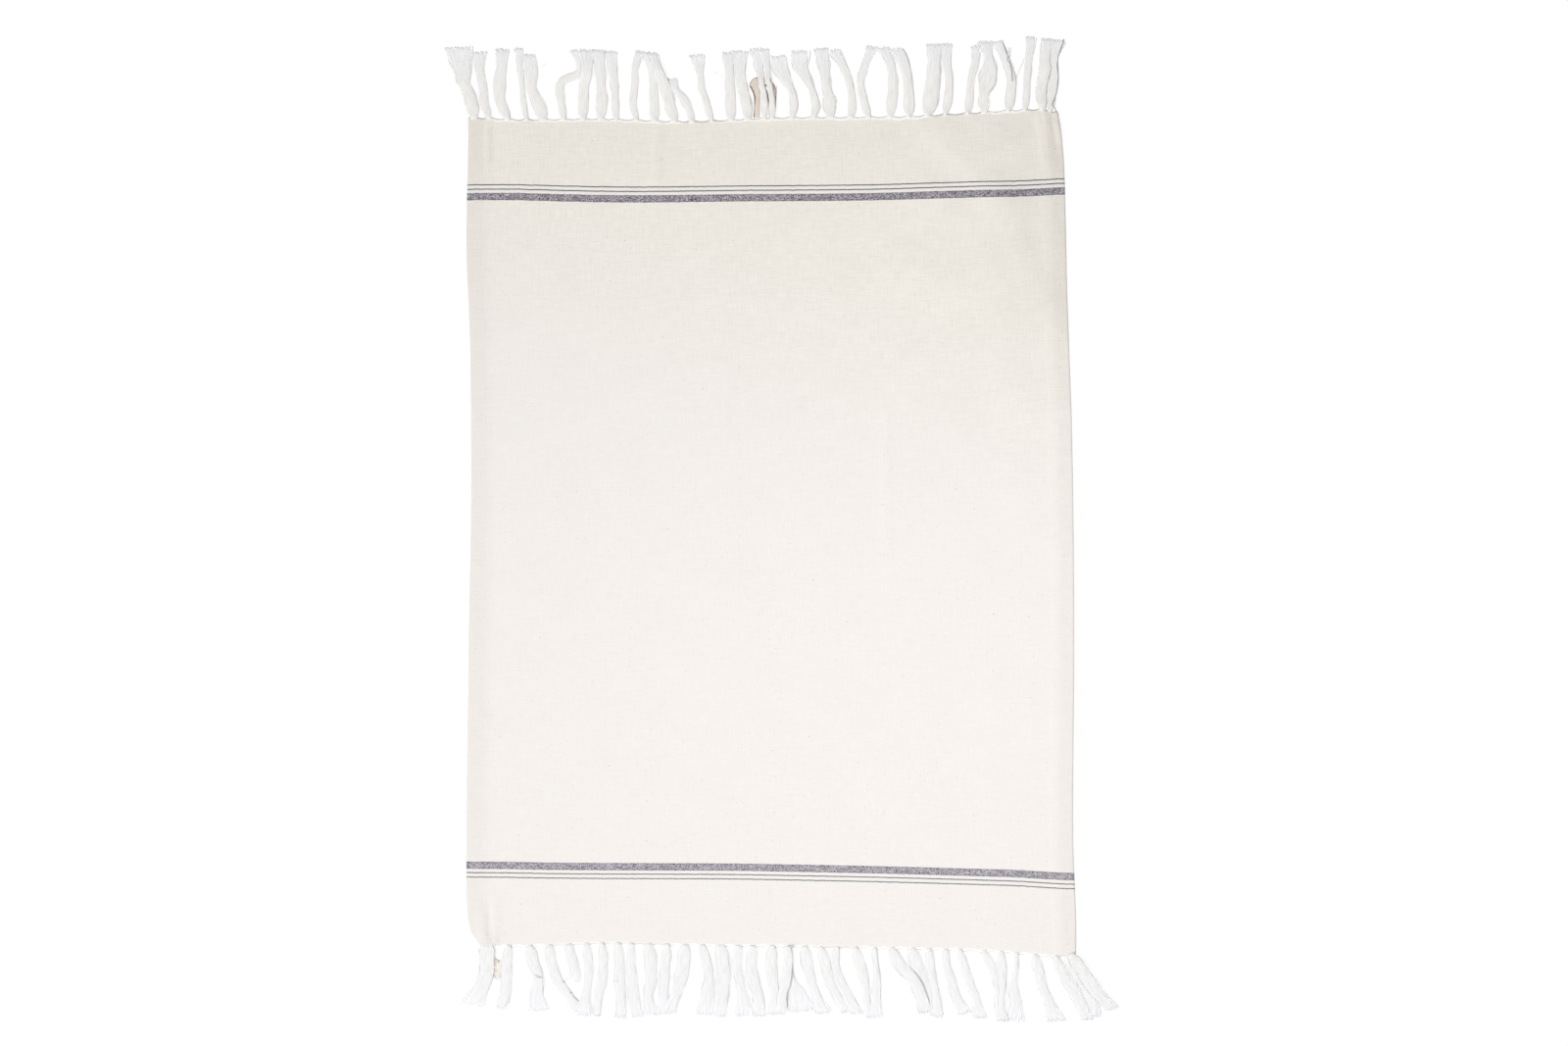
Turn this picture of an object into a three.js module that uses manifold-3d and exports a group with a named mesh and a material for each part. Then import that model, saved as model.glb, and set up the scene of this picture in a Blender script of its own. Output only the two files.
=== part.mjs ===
// A fringed kitchen towel lying flat, face up: woven cloth with a turned hem down each
// side, a knotted fringe along each end and a hanging loop of tape at the head.
// Millimetres. +X runs across the cloth, +Y towards the loop, +Z up from the table.
import * as THREE from 'three';
import { mergeVertices } from 'three/addons/utils/BufferGeometryUtils.js';
import Module from 'manifold-3d';

const wasm = await Module();
wasm.setup();

// ---- driving dimensions ------------------------------------------------------------
const CLOTH = 1.5;          // thickness of the woven cloth
const HEM = 3;              // thickness of a side hem, turned over once
const HEM_WIDTH = 16;       // from the side to the hem's stitching
const HEM_STEP = 2;         // the hem falls to the cloth within this width
const GAP = 0.3;            // between neighbouring pieces
const BINDING_WIDTH = 3.2;  // thread that binds the ends of the cloth and carries the fringe
const BINDING_HEIGHT = 2.6;
const TAPE_WIDTH = 4.5;     // hanging loop, of tape folded double
const TAPE = 2;
const TASSEL_HEIGHT = { neck: 2.8, middle: 2.4, tip: 1.5 };

// The sides, as x at a height y, from the foot to the head. The foot's left corner and
// the head's right corner are drawn in.
const LEFT_SIDE = [
  [-347, -253], [-336, -260.5], [-312, -263.5], [-254, -264], [-90, -262], [33, -260],
  [156, -261], [238, -264], [320, -262.5], [344.5, -262.5],
];
const RIGHT_SIDE = [
  [-355, 246], [-328, 246], [-254, 243.5], [-90, 244.4], [74, 242.7], [197, 238.6],
  [303, 236], [332, 233.5], [348, 231],
];
// The ends, as y at a distance x, from left to right. Both bow.
const FOOT = [
  [-253, -347], [-215, -349], [-150, -346.5], [-60, -348.5], [20, -349.5], [100, -351],
  [180, -353.5], [228, -357.5], [246, -355],
];
const HEAD = [
  [-262.5, 344.5], [-220, 342.5], [-150, 343], [-80, 341], [0, 344], [100, 345],
  [150, 347.5], [215, 351], [231, 348],
];

// Soft ridges that stand off the table: where each one runs, half its width, its height.
const FOLDS = [
  { from: [-246, 292], to: [-246, 350], spread: 9, rise: 2.6 },    // head, left hem
  { from: [-105, 262], to: [-104, 346], spread: 10, rise: 2.2 },   // crease off the head
  { from: [112, 352], to: [186, 272], spread: 24, rise: 2.6 },     // broad fold off the head
  { from: [222, 292], to: [219, 356], spread: 13, rise: 4.6 },     // head, drawn-in corner
  { from: [214, 334], to: [158, 304], spread: 12, rise: 2.2 },     // wrinkles from that corner
  { from: [222, 306], to: [184, 232], spread: 13, rise: 2.2 },
  { from: [-253, -312], to: [-247, -352], spread: 12, rise: 3.4 }, // foot, drawn-in corner
];

// Where the surfaces are worked out, in mm from the cloth's left side and from its foot:
// close together at the hems, the folds and either side of the loop.
const ACROSS_AT = [
  0, 4, 9, HEM_WIDTH - HEM_STEP, HEM_WIDTH, 24, 34, 50, 80, 115, 146, 152, 157, 162, 168, 200,
  236, 253, 270, 350, 372, 388, 402, 416, 430, 444, 458, 470, 480, 489, 491, 496, 501, 505,
];
const UP_AT = [
  0, 6, 14, 24, 38, 70, 180, 300, 420, 520, 560, 585, 607, 626, 642, 656, 668, 679, 687, 693,
];

// Tassels, left to right: where each leaves the end of the cloth, how far it reaches, how
// far it has swayed to the right at its quarters, and its widths.
const COLUMNS = ['root', 'reach', 'sway1', 'sway2', 'sway3', 'sway4', 'neck', 'middle', 'tip'];
const HEAD_TASSELS = [
  [-257.5, 60, -1.5, -6, -8, -14, 8, 12, 20],
  [-244.5, 57, -4.5, -6.5, -8.5, -11, 5, 8, 11],
  [-228.5, 60, -7, -8, -6.5, -5, 5, 9.5, 9.5],
  [-213.5, 61, -3, -4, -6, -7, 5, 5.2, 7],
  [-199, 55.5, -5, -10.5, -10.5, -12, 8, 10, 8.5],
  [-182.5, 59, -4, -2.5, 14, 9.5, 6, 7.5, 9],
  [-166.3, 59, 0, 1, 3, 3, 5.5, 9, 11],
  [-151.5, 58.5, 0.5, 0, -1, -2.5, 5, 9, 11],
  [-138.5, 58, -1, -1.5, -3.5, -5, 5, 7.5, 9],
  [-121.5, 59, -3.3, -1.7, -1.5, 2.2, 4.7, 6.2, 5.5],
  [-106.3, 58, -0.7, -1, -2.5, -7.5, 6.5, 8, 8],
  [-89.5, 58, -4.3, -8, -14.5, -19, 5.7, 9.3, 8],
  [-75, 37, -2.3, -6.5, -14, -16.5, 4.5, 6.5, 7.5],
  [-58.5, 56.5, -4.3, -8.5, -10.3, -13.5, 4, 6.3, 13],
  [-42.5, 58, -1, -1.3, -1.8, -3, 5, 8.5, 9.5],
  [-28.5, 58, -1.5, -6, -7.3, -6, 6, 9, 12.5],
  [-14.5, 59.5, -1, -1.5, -4, -5.5, 4, 5.8, 8],
  [-8, 59, -1, -2.5, -6, -6.5, 5, 5.5, 7],
  [8, 52.5, 1.5, -1, -7, -11.5, 5.5, 7.5, 11],
  [26.5, 57, 1.5, -3.5, -10, -11, 6, 7.5, 11],
  [40.5, 58.5, -1, -3.5, -5.5, -8, 7, 9.5, 11],
  [57.5, 57.5, 1, -1, -6.5, -14.5, 6.5, 7, 8],
  [72.5, 60, -4.2, -6.5, -3, 3.3, 5.5, 6.8, 8.5],
  [90, 59, 2, 2.8, 1, -5.7, 5, 8.5, 8.5],
  [106, 58, 0, -1, -3.5, -10.5, 4, 9, 10.5],
  [121, 61, 3.5, 5, 6.5, 5.5, 4.5, 12.2, 12.5],
  [136.3, 60.5, 2.5, 3.5, 1.2, 1.7, 3, 7.7, 8.5],
  [155, 57.5, 2, 3, 6.5, 6.5, 5, 6.9, 8],
  [169.5, 60.5, -0.5, 3, 3.5, 0, 6, 11, 10.5],
  [189, 59, 2.5, 2.3, -2, -9, 4.5, 8.3, 9.5],
  [203, 62, 1.5, 2.2, 3.8, 5, 4.5, 6.7, 8],
  [216.5, 60.5, -1, 1.5, 2.5, 3.5, 6, 9.5, 9],
  [223.5, 60.5, 2.5, 4.8, 5, 8, 6, 6.8, 11],
];
const FOOT_TASSELS = [
  [-247, 51, 0, -1.3, -6, -12.5, 11, 12.3, 19],
  [-228.3, 53, -2, -2.7, -3.1, -7.7, 5.5, 9.5, 6.5],
  [-211.3, 54.5, 3.3, 8, 6.3, 7.5, 7.5, 10, 15.5],
  [-195, 56, 2, 6.5, 16.5, 25.5, 8.5, 8.7, 7],
  [-178.5, 29.5, 1.2, 3.2, 4.8, 1, 8, 8.3, 7],
  [-164, 61, 2, 2, -0.3, -1, 7, 7.8, 10.5],
  [-150.5, 61.5, 1, 0, -3.2, -4, 5, 8, 5],
  [-137.3, 63, 1.3, 1.5, 2.6, 2.5, 5.5, 9.2, 9.2],
  [-126.3, 62, 0.3, 1.3, 2.5, 5.5, 6.5, 8.7, 8.3],
  [-112.3, 60, 2.3, 2.5, 0.3, 2.3, 8, 9.8, 12],
  [-95.7, 59, -1.6, -2.8, -3.6, -3.7, 5, 8.8, 9.5],
  [-81, 57, -1.5, -3.5, -8.3, -12.5, 8, 10.3, 8],
  [-67.3, 58.5, 4, 6.1, 4.5, 3.3, 7, 9.5, 14],
  [-52, 58.5, 2.3, 2.7, 1.3, 0, 10, 12, 10],
  [-36.5, 58, -1.2, 1, 3.8, 5.2, 8, 8.8, 13],
  [-24.3, 58, -1.7, 0.3, 4.7, 5.5, 7.5, 10.3, 10],
  [-8, 56.5, -1, 0.2, 2, -0.5, 7, 9.3, 8],
  [4.5, 55.5, 0.5, -1.5, -4.5, -6, 7.5, 8, 8],
  [6, 53.5, 0.5, 1.5, 6, 11, 6, 9, 17],
  [18.2, 55, 3, 6, 11, 16, 7, 8.7, 12],
  [32, 54, 4.2, 7.5, 13.8, 22, 5, 8.7, 9],
  [46.2, 55, -1.7, 2.3, 9.6, 16.3, 5, 8.3, 10.5],
  [61, 58.5, 4.3, 8.3, 9.8, 13, 5, 7.8, 7],
  [77.3, 57, 1.2, 2.3, 1.5, 2.5, 5.5, 7, 8.5],
  [91, 53, 7, 20, 27.5, 33, 6, 9, 8],
  [108.5, 55, 4, 9, 15.5, 20, 8, 9.3, 8],
  [123, 56, 1.2, 4, 6.5, 8.5, 7, 7.5, 7],
  [136.7, 53, 1.3, 5, 9.5, 16.5, 7, 8, 11],
  [148.3, 56.5, 4.7, 9.4, 14.5, 17.7, 5, 7.3, 11],
  [168, 58, 8, 12.5, 13, 15, 6, 7, 7.5],
  [183, 57, 1, 1.5, 0.5, 3, 5.5, 6.5, 6],
  [195.8, 56.5, -0.2, -1.8, -0.3, -0.8, 5.5, 7.5, 13.5],
  [211.3, 54.5, 3.7, 7.4, 13, 18.5, 5.5, 8.8, 15],
  [228.3, 52.5, 6, 14.7, 21.7, 27, 6, 10.2, 9],
  [239, 51, 4.5, 14, 21, 23.5, 6, 9, 9.5],
  [241, 45, 9, 17, 25.5, 36, 6, 8.7, 10],
];

// The hanging loop's middle line, from its left end round to its right end.
const LOOP_LEFT = -21.8;
const LOOP_RIGHT = -8.4;
const LOOP_GAP = 1.5 * GAP; // its slanted ends then stay GAP away from the cloth
const LOOP_PATH = [
  [LOOP_LEFT, along(HEAD, LOOP_LEFT) + LOOP_GAP], [-22, 358], [-24.6, 368], [-16.2, 375.6],
  [-7.6, 368], [-7.6, 358], [LOOP_RIGHT, along(HEAD, LOOP_RIGHT) + LOOP_GAP],
];
const LOOP_CLEARANCE = 11; // what starts this near to either end of it passes over the tape

// ---- curves ------------------------------------------------------------------------
// A smooth line through a table of [position, value] rows, read at one position.
function along(table, position) {
  const last = table.length - 1;
  let i = 0;
  while (i < last - 1 && position > table[i + 1][0]) i++;
  const [p1, v1] = table[i];
  const [p2, v2] = table[i + 1];
  const slopeAt = (k) => {
    const [a, b] = [table[Math.max(k - 1, 0)], table[Math.min(k + 1, last)]];
    return (b[1] - a[1]) / (b[0] - a[0]);
  };
  const step = p2 - p1;
  const u = THREE.MathUtils.clamp((position - p1) / step, 0, 1);
  const bend1 = u * (1 - u) * (1 - u) * step * slopeAt(i);
  const bend2 = u * u * (u - 1) * step * slopeAt(i + 1);
  return v1 + (v2 - v1) * u * u * (3 - 2 * u) + bend1 + bend2;
}

const lerp = THREE.MathUtils.lerp;
const firstOf = (table) => table[0][0];
const lastOf = (table) => table[table.length - 1][0];

// A point on a side or an end, at a share of the way along it.
function onSide(side, share) {
  const y = lerp(firstOf(side), lastOf(side), share);
  return [along(side, y), y];
}
function onEnd(end, share) {
  const x = lerp(firstOf(end), lastOf(end), share);
  return [x, along(end, x)];
}

// A point of the cloth: `across` from the left side, `up` from the foot, both as shares.
function onCloth(across, up) {
  const [left, right] = [onSide(LEFT_SIDE, up), onSide(RIGHT_SIDE, up)];
  const [foot, head] = [onEnd(FOOT, across), onEnd(HEAD, across)];
  return [0, 1].map((k) => {
    const [footLeft, footRight] = [onEnd(FOOT, 0)[k], onEnd(FOOT, 1)[k]];
    const [headLeft, headRight] = [onEnd(HEAD, 0)[k], onEnd(HEAD, 1)[k]];
    const corners = lerp(lerp(footLeft, footRight, across), lerp(headLeft, headRight, across), up);
    return lerp(left[k], right[k], across) + lerp(foot[k], head[k], up) - corners;
  });
}

// How far the folds lift the cloth off the table.
function liftAt(x, y) {
  let lift = 0;
  for (const { from, to, spread, rise } of FOLDS) {
    const run = [to[0] - from[0], to[1] - from[1]];
    const length = Math.hypot(...run);
    const share = ((x - from[0]) * run[0] + (y - from[1]) * run[1]) / length ** 2;
    const aside = ((x - from[0]) * run[1] - (y - from[1]) * run[0]) / length / spread;
    if (Math.abs(aside) < 1 && share > 0 && share < 1.2) {
      const fade = THREE.MathUtils.smoothstep(share, 0, 0.35);
      lift = Math.max(lift, rise * fade * (1 - aside * aside) ** 2);
    }
  }
  return lift;
}

// ---- solids ------------------------------------------------------------------------
function geometryFrom(points, triangles) {
  const geometry = new THREE.BufferGeometry();
  geometry.setAttribute('position', new THREE.Float32BufferAttribute(points.flat(), 3));
  geometry.setIndex(triangles.flat());
  return geometry;
}

// Skins closed rings of points, one after another, and caps both ends.
function loft(rings) {
  const size = rings[0].length;
  const triangles = [];
  for (let r = 0; r + 1 < rings.length; r++) {
    for (let k = 0; k < size; k++) {
      const [a, b] = [r * size + k, r * size + (k + 1) % size];
      triangles.push([a, b + size, b], [a, a + size, b + size]);
    }
  }
  const end = (rings.length - 1) * size;
  for (let k = 1; k + 1 < size; k++) {
    triangles.push([0, k, k + 1], [end, end + k + 1, end + k]);
  }
  return geometryFrom(rings.flat(), triangles);
}

function toSolid(geometry) {
  const merged = mergeVertices(geometry);
  return new wasm.Manifold(new wasm.Mesh({
    numProp: 3,
    vertProperties: merged.attributes.position.array,
    triVerts: new Uint32Array(merged.index.array),
  }));
}

function joined(geometries) {
  const whole = geometries.map(toSolid).reduce((sum, solid) => sum.add(solid));
  const { vertProperties, triVerts } = whole.getMesh();
  const geometry = new THREE.BufferGeometry();
  geometry.setAttribute('position', new THREE.BufferAttribute(vertProperties, 3));
  geometry.setIndex(new THREE.BufferAttribute(triVerts, 1));
  return geometry;
}

// A low arch on a flat base: five points round the middle (x, y), seen along `heading`.
function archSection(x, y, heading, width, base, height) {
  const side = [heading[1], -heading[0]];
  const outline = [[-0.5, 0], [0.5, 0], [0.4, 0.62], [0, 1], [-0.4, 0.62]];
  return outline.map(([a, h]) => [x + side[0] * a * width, y + side[1] * a * width, base + h * height]);
}

// ---- the cloth ---------------------------------------------------------------------
function sharesOf(stations) {
  return stations.map((distance) => distance / stations[stations.length - 1]);
}

function clothGeometry() {
  const [columns, rows] = [sharesOf(ACROSS_AT), sharesOf(UP_AT)];
  const width = ACROSS_AT[ACROSS_AT.length - 1];
  const size = columns.length;
  const layer = size * rows.length;
  const [under, over] = [[], []];
  for (const up of rows) {
    for (const across of columns) {
      const [x, y] = onCloth(across, up);
      const fromSide = Math.min(across, 1 - across) * width;
      const hem = 1 - THREE.MathUtils.smoothstep(fromSide, HEM_WIDTH - HEM_STEP, HEM_WIDTH);
      const base = liftAt(x, y);
      under.push([x, y, base]);
      over.push([x, y, base + lerp(CLOTH, HEM, hem)]);
    }
  }
  const triangles = [];
  for (let r = 0; r + 1 < rows.length; r++) {
    for (let c = 0; c + 1 < size; c++) {
      const [a, b] = [r * size + c, r * size + c + 1];
      const [d, e] = [a + size, b + size];
      triangles.push([a, e, b], [a, d, e]);
      triangles.push([a + layer, b + layer, e + layer], [a + layer, e + layer, d + layer]);
    }
  }
  const rim = [
    ...columns.map((_, c) => c),
    ...rows.slice(1).map((_, r) => (r + 1) * size + size - 1),
    ...columns.slice(1).map((_, c) => layer - 2 - c),
    ...rows.slice(2).map((_, r) => (rows.length - 2 - r) * size),
  ];
  rim.forEach((a, i) => {
    const b = rim[(i + 1) % rim.length];
    triangles.push([a, b, b + layer], [a, b + layer, a + layer]);
  });
  return geometryFrom([...under, ...over], triangles);
}

// ---- a fringe: the binding thread along one end, and its tassels --------------------
const OVER_TAPE = TAPE + GAP;

// The binding and the tassels pass over the loop's tape and follow the folds.
function baseAt(x, y, isHead) {
  const nearLoop = isHead && x > LOOP_LEFT - LOOP_CLEARANCE && x < LOOP_RIGHT + LOOP_CLEARANCE;
  return Math.max(liftAt(x, y), nearLoop ? OVER_TAPE : 0);
}

function bindingGeometry(end, outward, isHead) {
  const offset = outward * (GAP + BINDING_WIDTH / 2);
  return loft(sharesOf(ACROSS_AT).map((share) => {
    const [x, y] = onEnd(end, share);
    return archSection(x, y + offset, [1, 0], BINDING_WIDTH, baseAt(x, y, isHead), BINDING_HEIGHT);
  }));
}

function tasselGeometry(row, end, outward, isHead) {
  const tassel = Object.fromEntries(COLUMNS.map((name, i) => [name, row[i]]));
  const rootY = along(end, tassel.root) + outward * (GAP + BINDING_WIDTH / 2);
  const sways = [0, tassel.sway1, tassel.sway2, tassel.sway3, tassel.sway4];
  const path = new THREE.CatmullRomCurve3(sways.map((sway, i) => {
    const y = along(end, tassel.root) + outward * tassel.reach * i / 4;
    return new THREE.Vector3(tassel.root + sway, i === 0 ? rootY : y, 0);
  }));
  const widths = [[0, tassel.neck], [0.3, tassel.middle], [0.7, tassel.middle], [1, tassel.tip]];
  const { neck, middle, tip } = TASSEL_HEIGHT;
  const heights = [[0, neck], [0.5, middle], [1, tip]];
  const rootBase = baseAt(tassel.root, rootY, isHead);
  const shares = [0, 0.18, 0.38, 0.6, 0.8, 1];
  return loft(shares.map((share) => {
    const place = path.getPoint(share);
    const heading = share === 0 ? { x: 0, y: outward } : path.getTangent(share);
    const base = rootBase * (1 - THREE.MathUtils.smoothstep(share, 0.6, 0.8));
    const [width, height] = [along(widths, share), along(heights, share)];
    return archSection(place.x, place.y, [heading.x, heading.y], width, base, height);
  }));
}

function fringeGeometry(end, tassels, outward) {
  const isHead = outward > 0;
  const prongs = tassels.map((row) => tasselGeometry(row, end, outward, isHead));
  return joined([bindingGeometry(end, outward, isHead), ...prongs]);
}

// ---- the hanging loop: one strip of tape, bent flat into a hairpin --------------------
function loopGeometry() {
  const path = new THREE.CatmullRomCurve3(LOOP_PATH.map(([x, y]) => new THREE.Vector3(x, y, 0)));
  const steps = 20;
  const edge = (side) => Array.from({ length: steps + 1 }, (_, i) => {
    const [place, heading] = [path.getPoint(i / steps), path.getTangent(i / steps)];
    const reach = side * TAPE_WIDTH / 2;
    return new THREE.Vector2(place.x - heading.y * reach, place.y + heading.x * reach);
  });
  const outline = new THREE.Shape([...edge(1), ...edge(-1).reverse()]);
  return new THREE.ExtrudeGeometry(outline, { depth: TAPE, bevelEnabled: false });
}

// ---- the towel ---------------------------------------------------------------------
const cotton = new THREE.MeshStandardMaterial({ color: '#f0ede6', roughness: 0.95, metalness: 0 });
const yarn = new THREE.MeshStandardMaterial({ color: '#eff0ee', roughness: 0.9, metalness: 0 });
const tape = new THREE.MeshStandardMaterial({ color: '#dccdb9', roughness: 0.9, metalness: 0 });

function piece(name, geometry, material) {
  const mesh = new THREE.Mesh(geometry, material);
  mesh.name = name;
  return mesh;
}

const towel = new THREE.Group();
towel.add(
  piece('cloth', clothGeometry(), cotton),
  piece('fringe_head', fringeGeometry(HEAD, HEAD_TASSELS, 1), yarn),
  piece('fringe_foot', fringeGeometry(FOOT, FOOT_TASSELS, -1), yarn),
  piece('hanging_loop', loopGeometry(), tape),
);

// The origin lies on the table, at the middle of the towel's box.
const middle = new THREE.Box3().setFromObject(towel).getCenter(new THREE.Vector3());
towel.position.set(-middle.x, -middle.y, 0);

export default towel;
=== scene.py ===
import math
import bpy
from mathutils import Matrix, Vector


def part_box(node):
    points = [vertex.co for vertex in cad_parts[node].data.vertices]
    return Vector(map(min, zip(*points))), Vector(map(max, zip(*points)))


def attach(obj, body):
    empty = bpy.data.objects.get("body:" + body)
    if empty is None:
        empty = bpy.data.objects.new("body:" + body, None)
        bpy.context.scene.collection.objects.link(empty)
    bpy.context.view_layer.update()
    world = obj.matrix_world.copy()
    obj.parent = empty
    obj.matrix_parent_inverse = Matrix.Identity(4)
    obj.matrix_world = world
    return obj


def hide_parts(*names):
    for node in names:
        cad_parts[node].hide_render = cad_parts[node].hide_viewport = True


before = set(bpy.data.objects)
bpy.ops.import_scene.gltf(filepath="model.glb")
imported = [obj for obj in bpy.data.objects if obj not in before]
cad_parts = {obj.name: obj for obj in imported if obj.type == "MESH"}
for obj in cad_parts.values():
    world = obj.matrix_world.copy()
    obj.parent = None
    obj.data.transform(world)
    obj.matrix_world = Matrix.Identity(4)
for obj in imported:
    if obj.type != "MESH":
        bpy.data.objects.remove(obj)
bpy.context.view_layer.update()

# A fringed kitchen towel lying flat on a white table, seen square on from above.
# The shapes are worked out in the towel's own millimetres, with +X across the cloth,
# +Y towards the hanging loop and +Z up, and mesh_object() puts them into the frame.
from types import SimpleNamespace

import bpy
import numpy as np

MM = 0.001

# ---- the lying cloth, in mm; its outline is the CAD part's
FLAT_WIDTH, FLAT_LENGTH = 500, 700
THICKNESS = 1.3
HEM_THICKNESS = 1.8
HEM_WIDTH = 16
SEAM = 14              # how far inside the side the hem is stitched down

# Sides as (y, x) and ends as (x, y), from the foot up and from left to right.
LEFT_SIDE = [
    (-347, -253), (-336, -260.5), (-312, -263.5), (-254, -264), (-90, -262), (33, -260),
    (156, -261), (238, -264), (320, -262.5), (344.5, -262.5),
]
RIGHT_SIDE = [
    (-355, 246), (-328, 246), (-254, 243.5), (-90, 244.4), (74, 242.7), (197, 238.6),
    (303, 236), (332, 233.5), (348, 231),
]
FOOT = [
    (-253, -347), (-215, -349), (-150, -346.5), (-60, -348.5), (20, -349.5), (100, -351),
    (180, -353.5), (228, -357.5), (246, -355),
]
HEAD = [
    (-262.5, 344.5), (-220, 342.5), (-150, 343), (-80, 341), (0, 344), (100, 345),
    (150, 347.5), (215, 351), (231, 348),
]
# Each end's outer thin stripe, as (x, y): both bow with the cloth.
STRIPE_IN = 56.5
FOOT_STRIPE = [
    (-264, -290.6), (-228, -290.9), (-195, -291.5), (-160, -291.8), (-80, -292.1),
    (-40, -292.3), (0, -293), (84, -294.7), (166, -297), (198, -298), (223, -299.6),
    (245, -300.6),
]
HEAD_STRIPE = [
    (-264, 287.9), (-228, 288.2), (-195, 287.4), (-160, 286.6), (-121, 286.2), (-80, 286.5),
    (-40, 287.1), (40, 287.6), (84, 288.3), (125, 289.5), (166, 290.7), (198, 291.3),
    (238, 293.3),
]

# Soft folds: where each one runs, half its width and its height.
FOLDS = [
    ((-246, 292), (-246, 350), 5, 0.9),
    ((-105, 262), (-104, 346), 5, 1.0),
    ((112, 352), (186, 272), 24, 1.6),
    ((227, 172), (181, 278), 16, 1.0),
    ((222, 292), (219, 356), 10, 1.3),
    ((236, 318), (227, 352), 6, 1.6),
    ((214, 334), (158, 304), 10, 1.0),
    ((88, -55), (87, 80), 7, 0.5),
    ((-253, -312), (-247, -352), 9, 1.0),
    ((-240, -300), (-240, -350), 5, 0.6),
]
# Narrow creases pressed into the cloth: where each runs, half its width and its depth.
CREASES = [
    ((215.8, 349.5), (218.2, 337), 1.6, 0.6),
    ((226.2, 349.5), (229.4, 339.5), 1.5, 0.6),
    ((-245.9, -322), (-245.2, -347), 1.5, 0.35),
    ((-244.6, 345), (-245.2, 326), 1.3, 0.2),
    ((-103.4, 343.5), (-105, 316), 1.5, 0.45),
]

# ---- tassels, in mm, the lowest first where they cross
# A row: the root where it leaves the end, how far it reaches, how far it sways to the right
# of its root at each quarter of that, and its width at the root and at each quarter.
HEAD_TASSELS = [
    (-257.5, 60, -3, -8.6, -11, -14, 8, 11.2, 11.3, 18, 20.5),
    (-244.5, 57, -4.8, -6, -9, -8.8, 5, 7.8, 7.6, 8.6, 9.8),
    (-228.5, 60, -7, -8, -6.5, -5, 5, 9, 10.5, 9.5, 9.5),
    (-213.5, 61, -3, -4, -6, -7, 5.5, 5, 5, 5.5, 7),
    (-199, 55.5, -5, -10.5, -10.5, -12, 8, 11, 8.5, 11, 8.5),
    (-182.5, 59, -4, -2.5, 14, 9.5, 6, 6.7, 7.5, 8, 9),
    (-166.3, 59, 0, 1, 3, 3, 5.5, 8.5, 9, 9.5, 11),
    (-151.5, 58.5, 0.5, 0, -1, -2.5, 5, 10, 8.5, 9, 11),
    (-138.5, 58, -1, -1.5, -3.5, -5, 5, 6.5, 7, 8.5, 9),
    (-121.5, 59, -3.3, -1.7, -1.5, 2.2, 4.7, 6.5, 6.2, 6, 5.5),
    (-106.3, 58, -0.7, -1, -2.5, -7.5, 6.5, 8.5, 7.5, 7.5, 8),
    (-75, 37, -2.3, -6.5, -14, -16.5, 4.5, 6.5, 7, 6, 7.5),
    (-89.5, 58, -4.3, -8, -14.5, -19, 5.7, 9.5, 10, 8, 8),
    (-58.5, 56.5, -4.3, -8.5, -10.3, -13.5, 4, 6.5, 6, 6.5, 13),
    (-42.5, 58, -1, -1.3, -1.8, -3, 5, 9.2, 8.5, 8, 9.5),
    (-28.5, 58, -1, -5.2, -6.4, -5.4, 6, 9.3, 9, 9.5, 12.5),
    (8, 53, 2.2, -1.4, -8.6, -11.6, 5.5, 7, 7.2, 13, 12),
    (-14.5, 59.5, 0, -2.7, -4.6, -7.8, 4, 5.2, 5, 7, 10),
    (-8, 59, -0.3, -3.2, -4.9, -6.6, 5, 5, 6, 6.2, 7.2),
    (26.5, 57, 1.5, -3.5, -10.6, -11.4, 6, 6.8, 6.8, 12.6, 13),
    (57.5, 57.5, 1, -1, -6.5, -14.5, 6.5, 7, 6.5, 8, 8),
    (40.5, 58.5, -1, -3.5, -5.5, -8, 7, 10.5, 7.5, 10.5, 11),
    (72.5, 60, -4.2, -6.5, -3, 3.3, 5.5, 7, 6.5, 7, 8.5),
    (90, 59, 2, 2.8, 1, -5.7, 5, 9, 8.5, 8, 8.5),
    (106, 58, 0, -1, -3.5, -10.5, 4, 9.5, 8.2, 9.5, 10.5),
    (121, 61, 3.5, 5, 6.5, 5.5, 4.5, 13, 12.5, 11, 12.5),
    (136.3, 60.5, 2.5, 3.5, 1.2, 1.7, 3, 8, 7, 8, 8.5),
    (155, 57.5, 2, 3, 6.5, 6.5, 5, 7.5, 6.2, 7, 8),
    (169.5, 60.5, -0.5, 3, 3.5, 0, 6, 9, 15.5, 8.5, 10.5),
    (189, 59, 2.5, 2.3, -2, -9, 4.5, 9, 8, 8, 9.5),
    (203, 62, 1.5, 2.2, 3.8, 5, 4.5, 6.5, 6.7, 7, 8),
    (223.5, 60.5, 1.9, 3.6, 4.2, 8, 6, 8.4, 8.8, 7.4, 11),
    (217.5, 60.5, -1, 1.5, 2.5, 3.5, 6, 9, 10, 9.5, 9),
]
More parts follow.
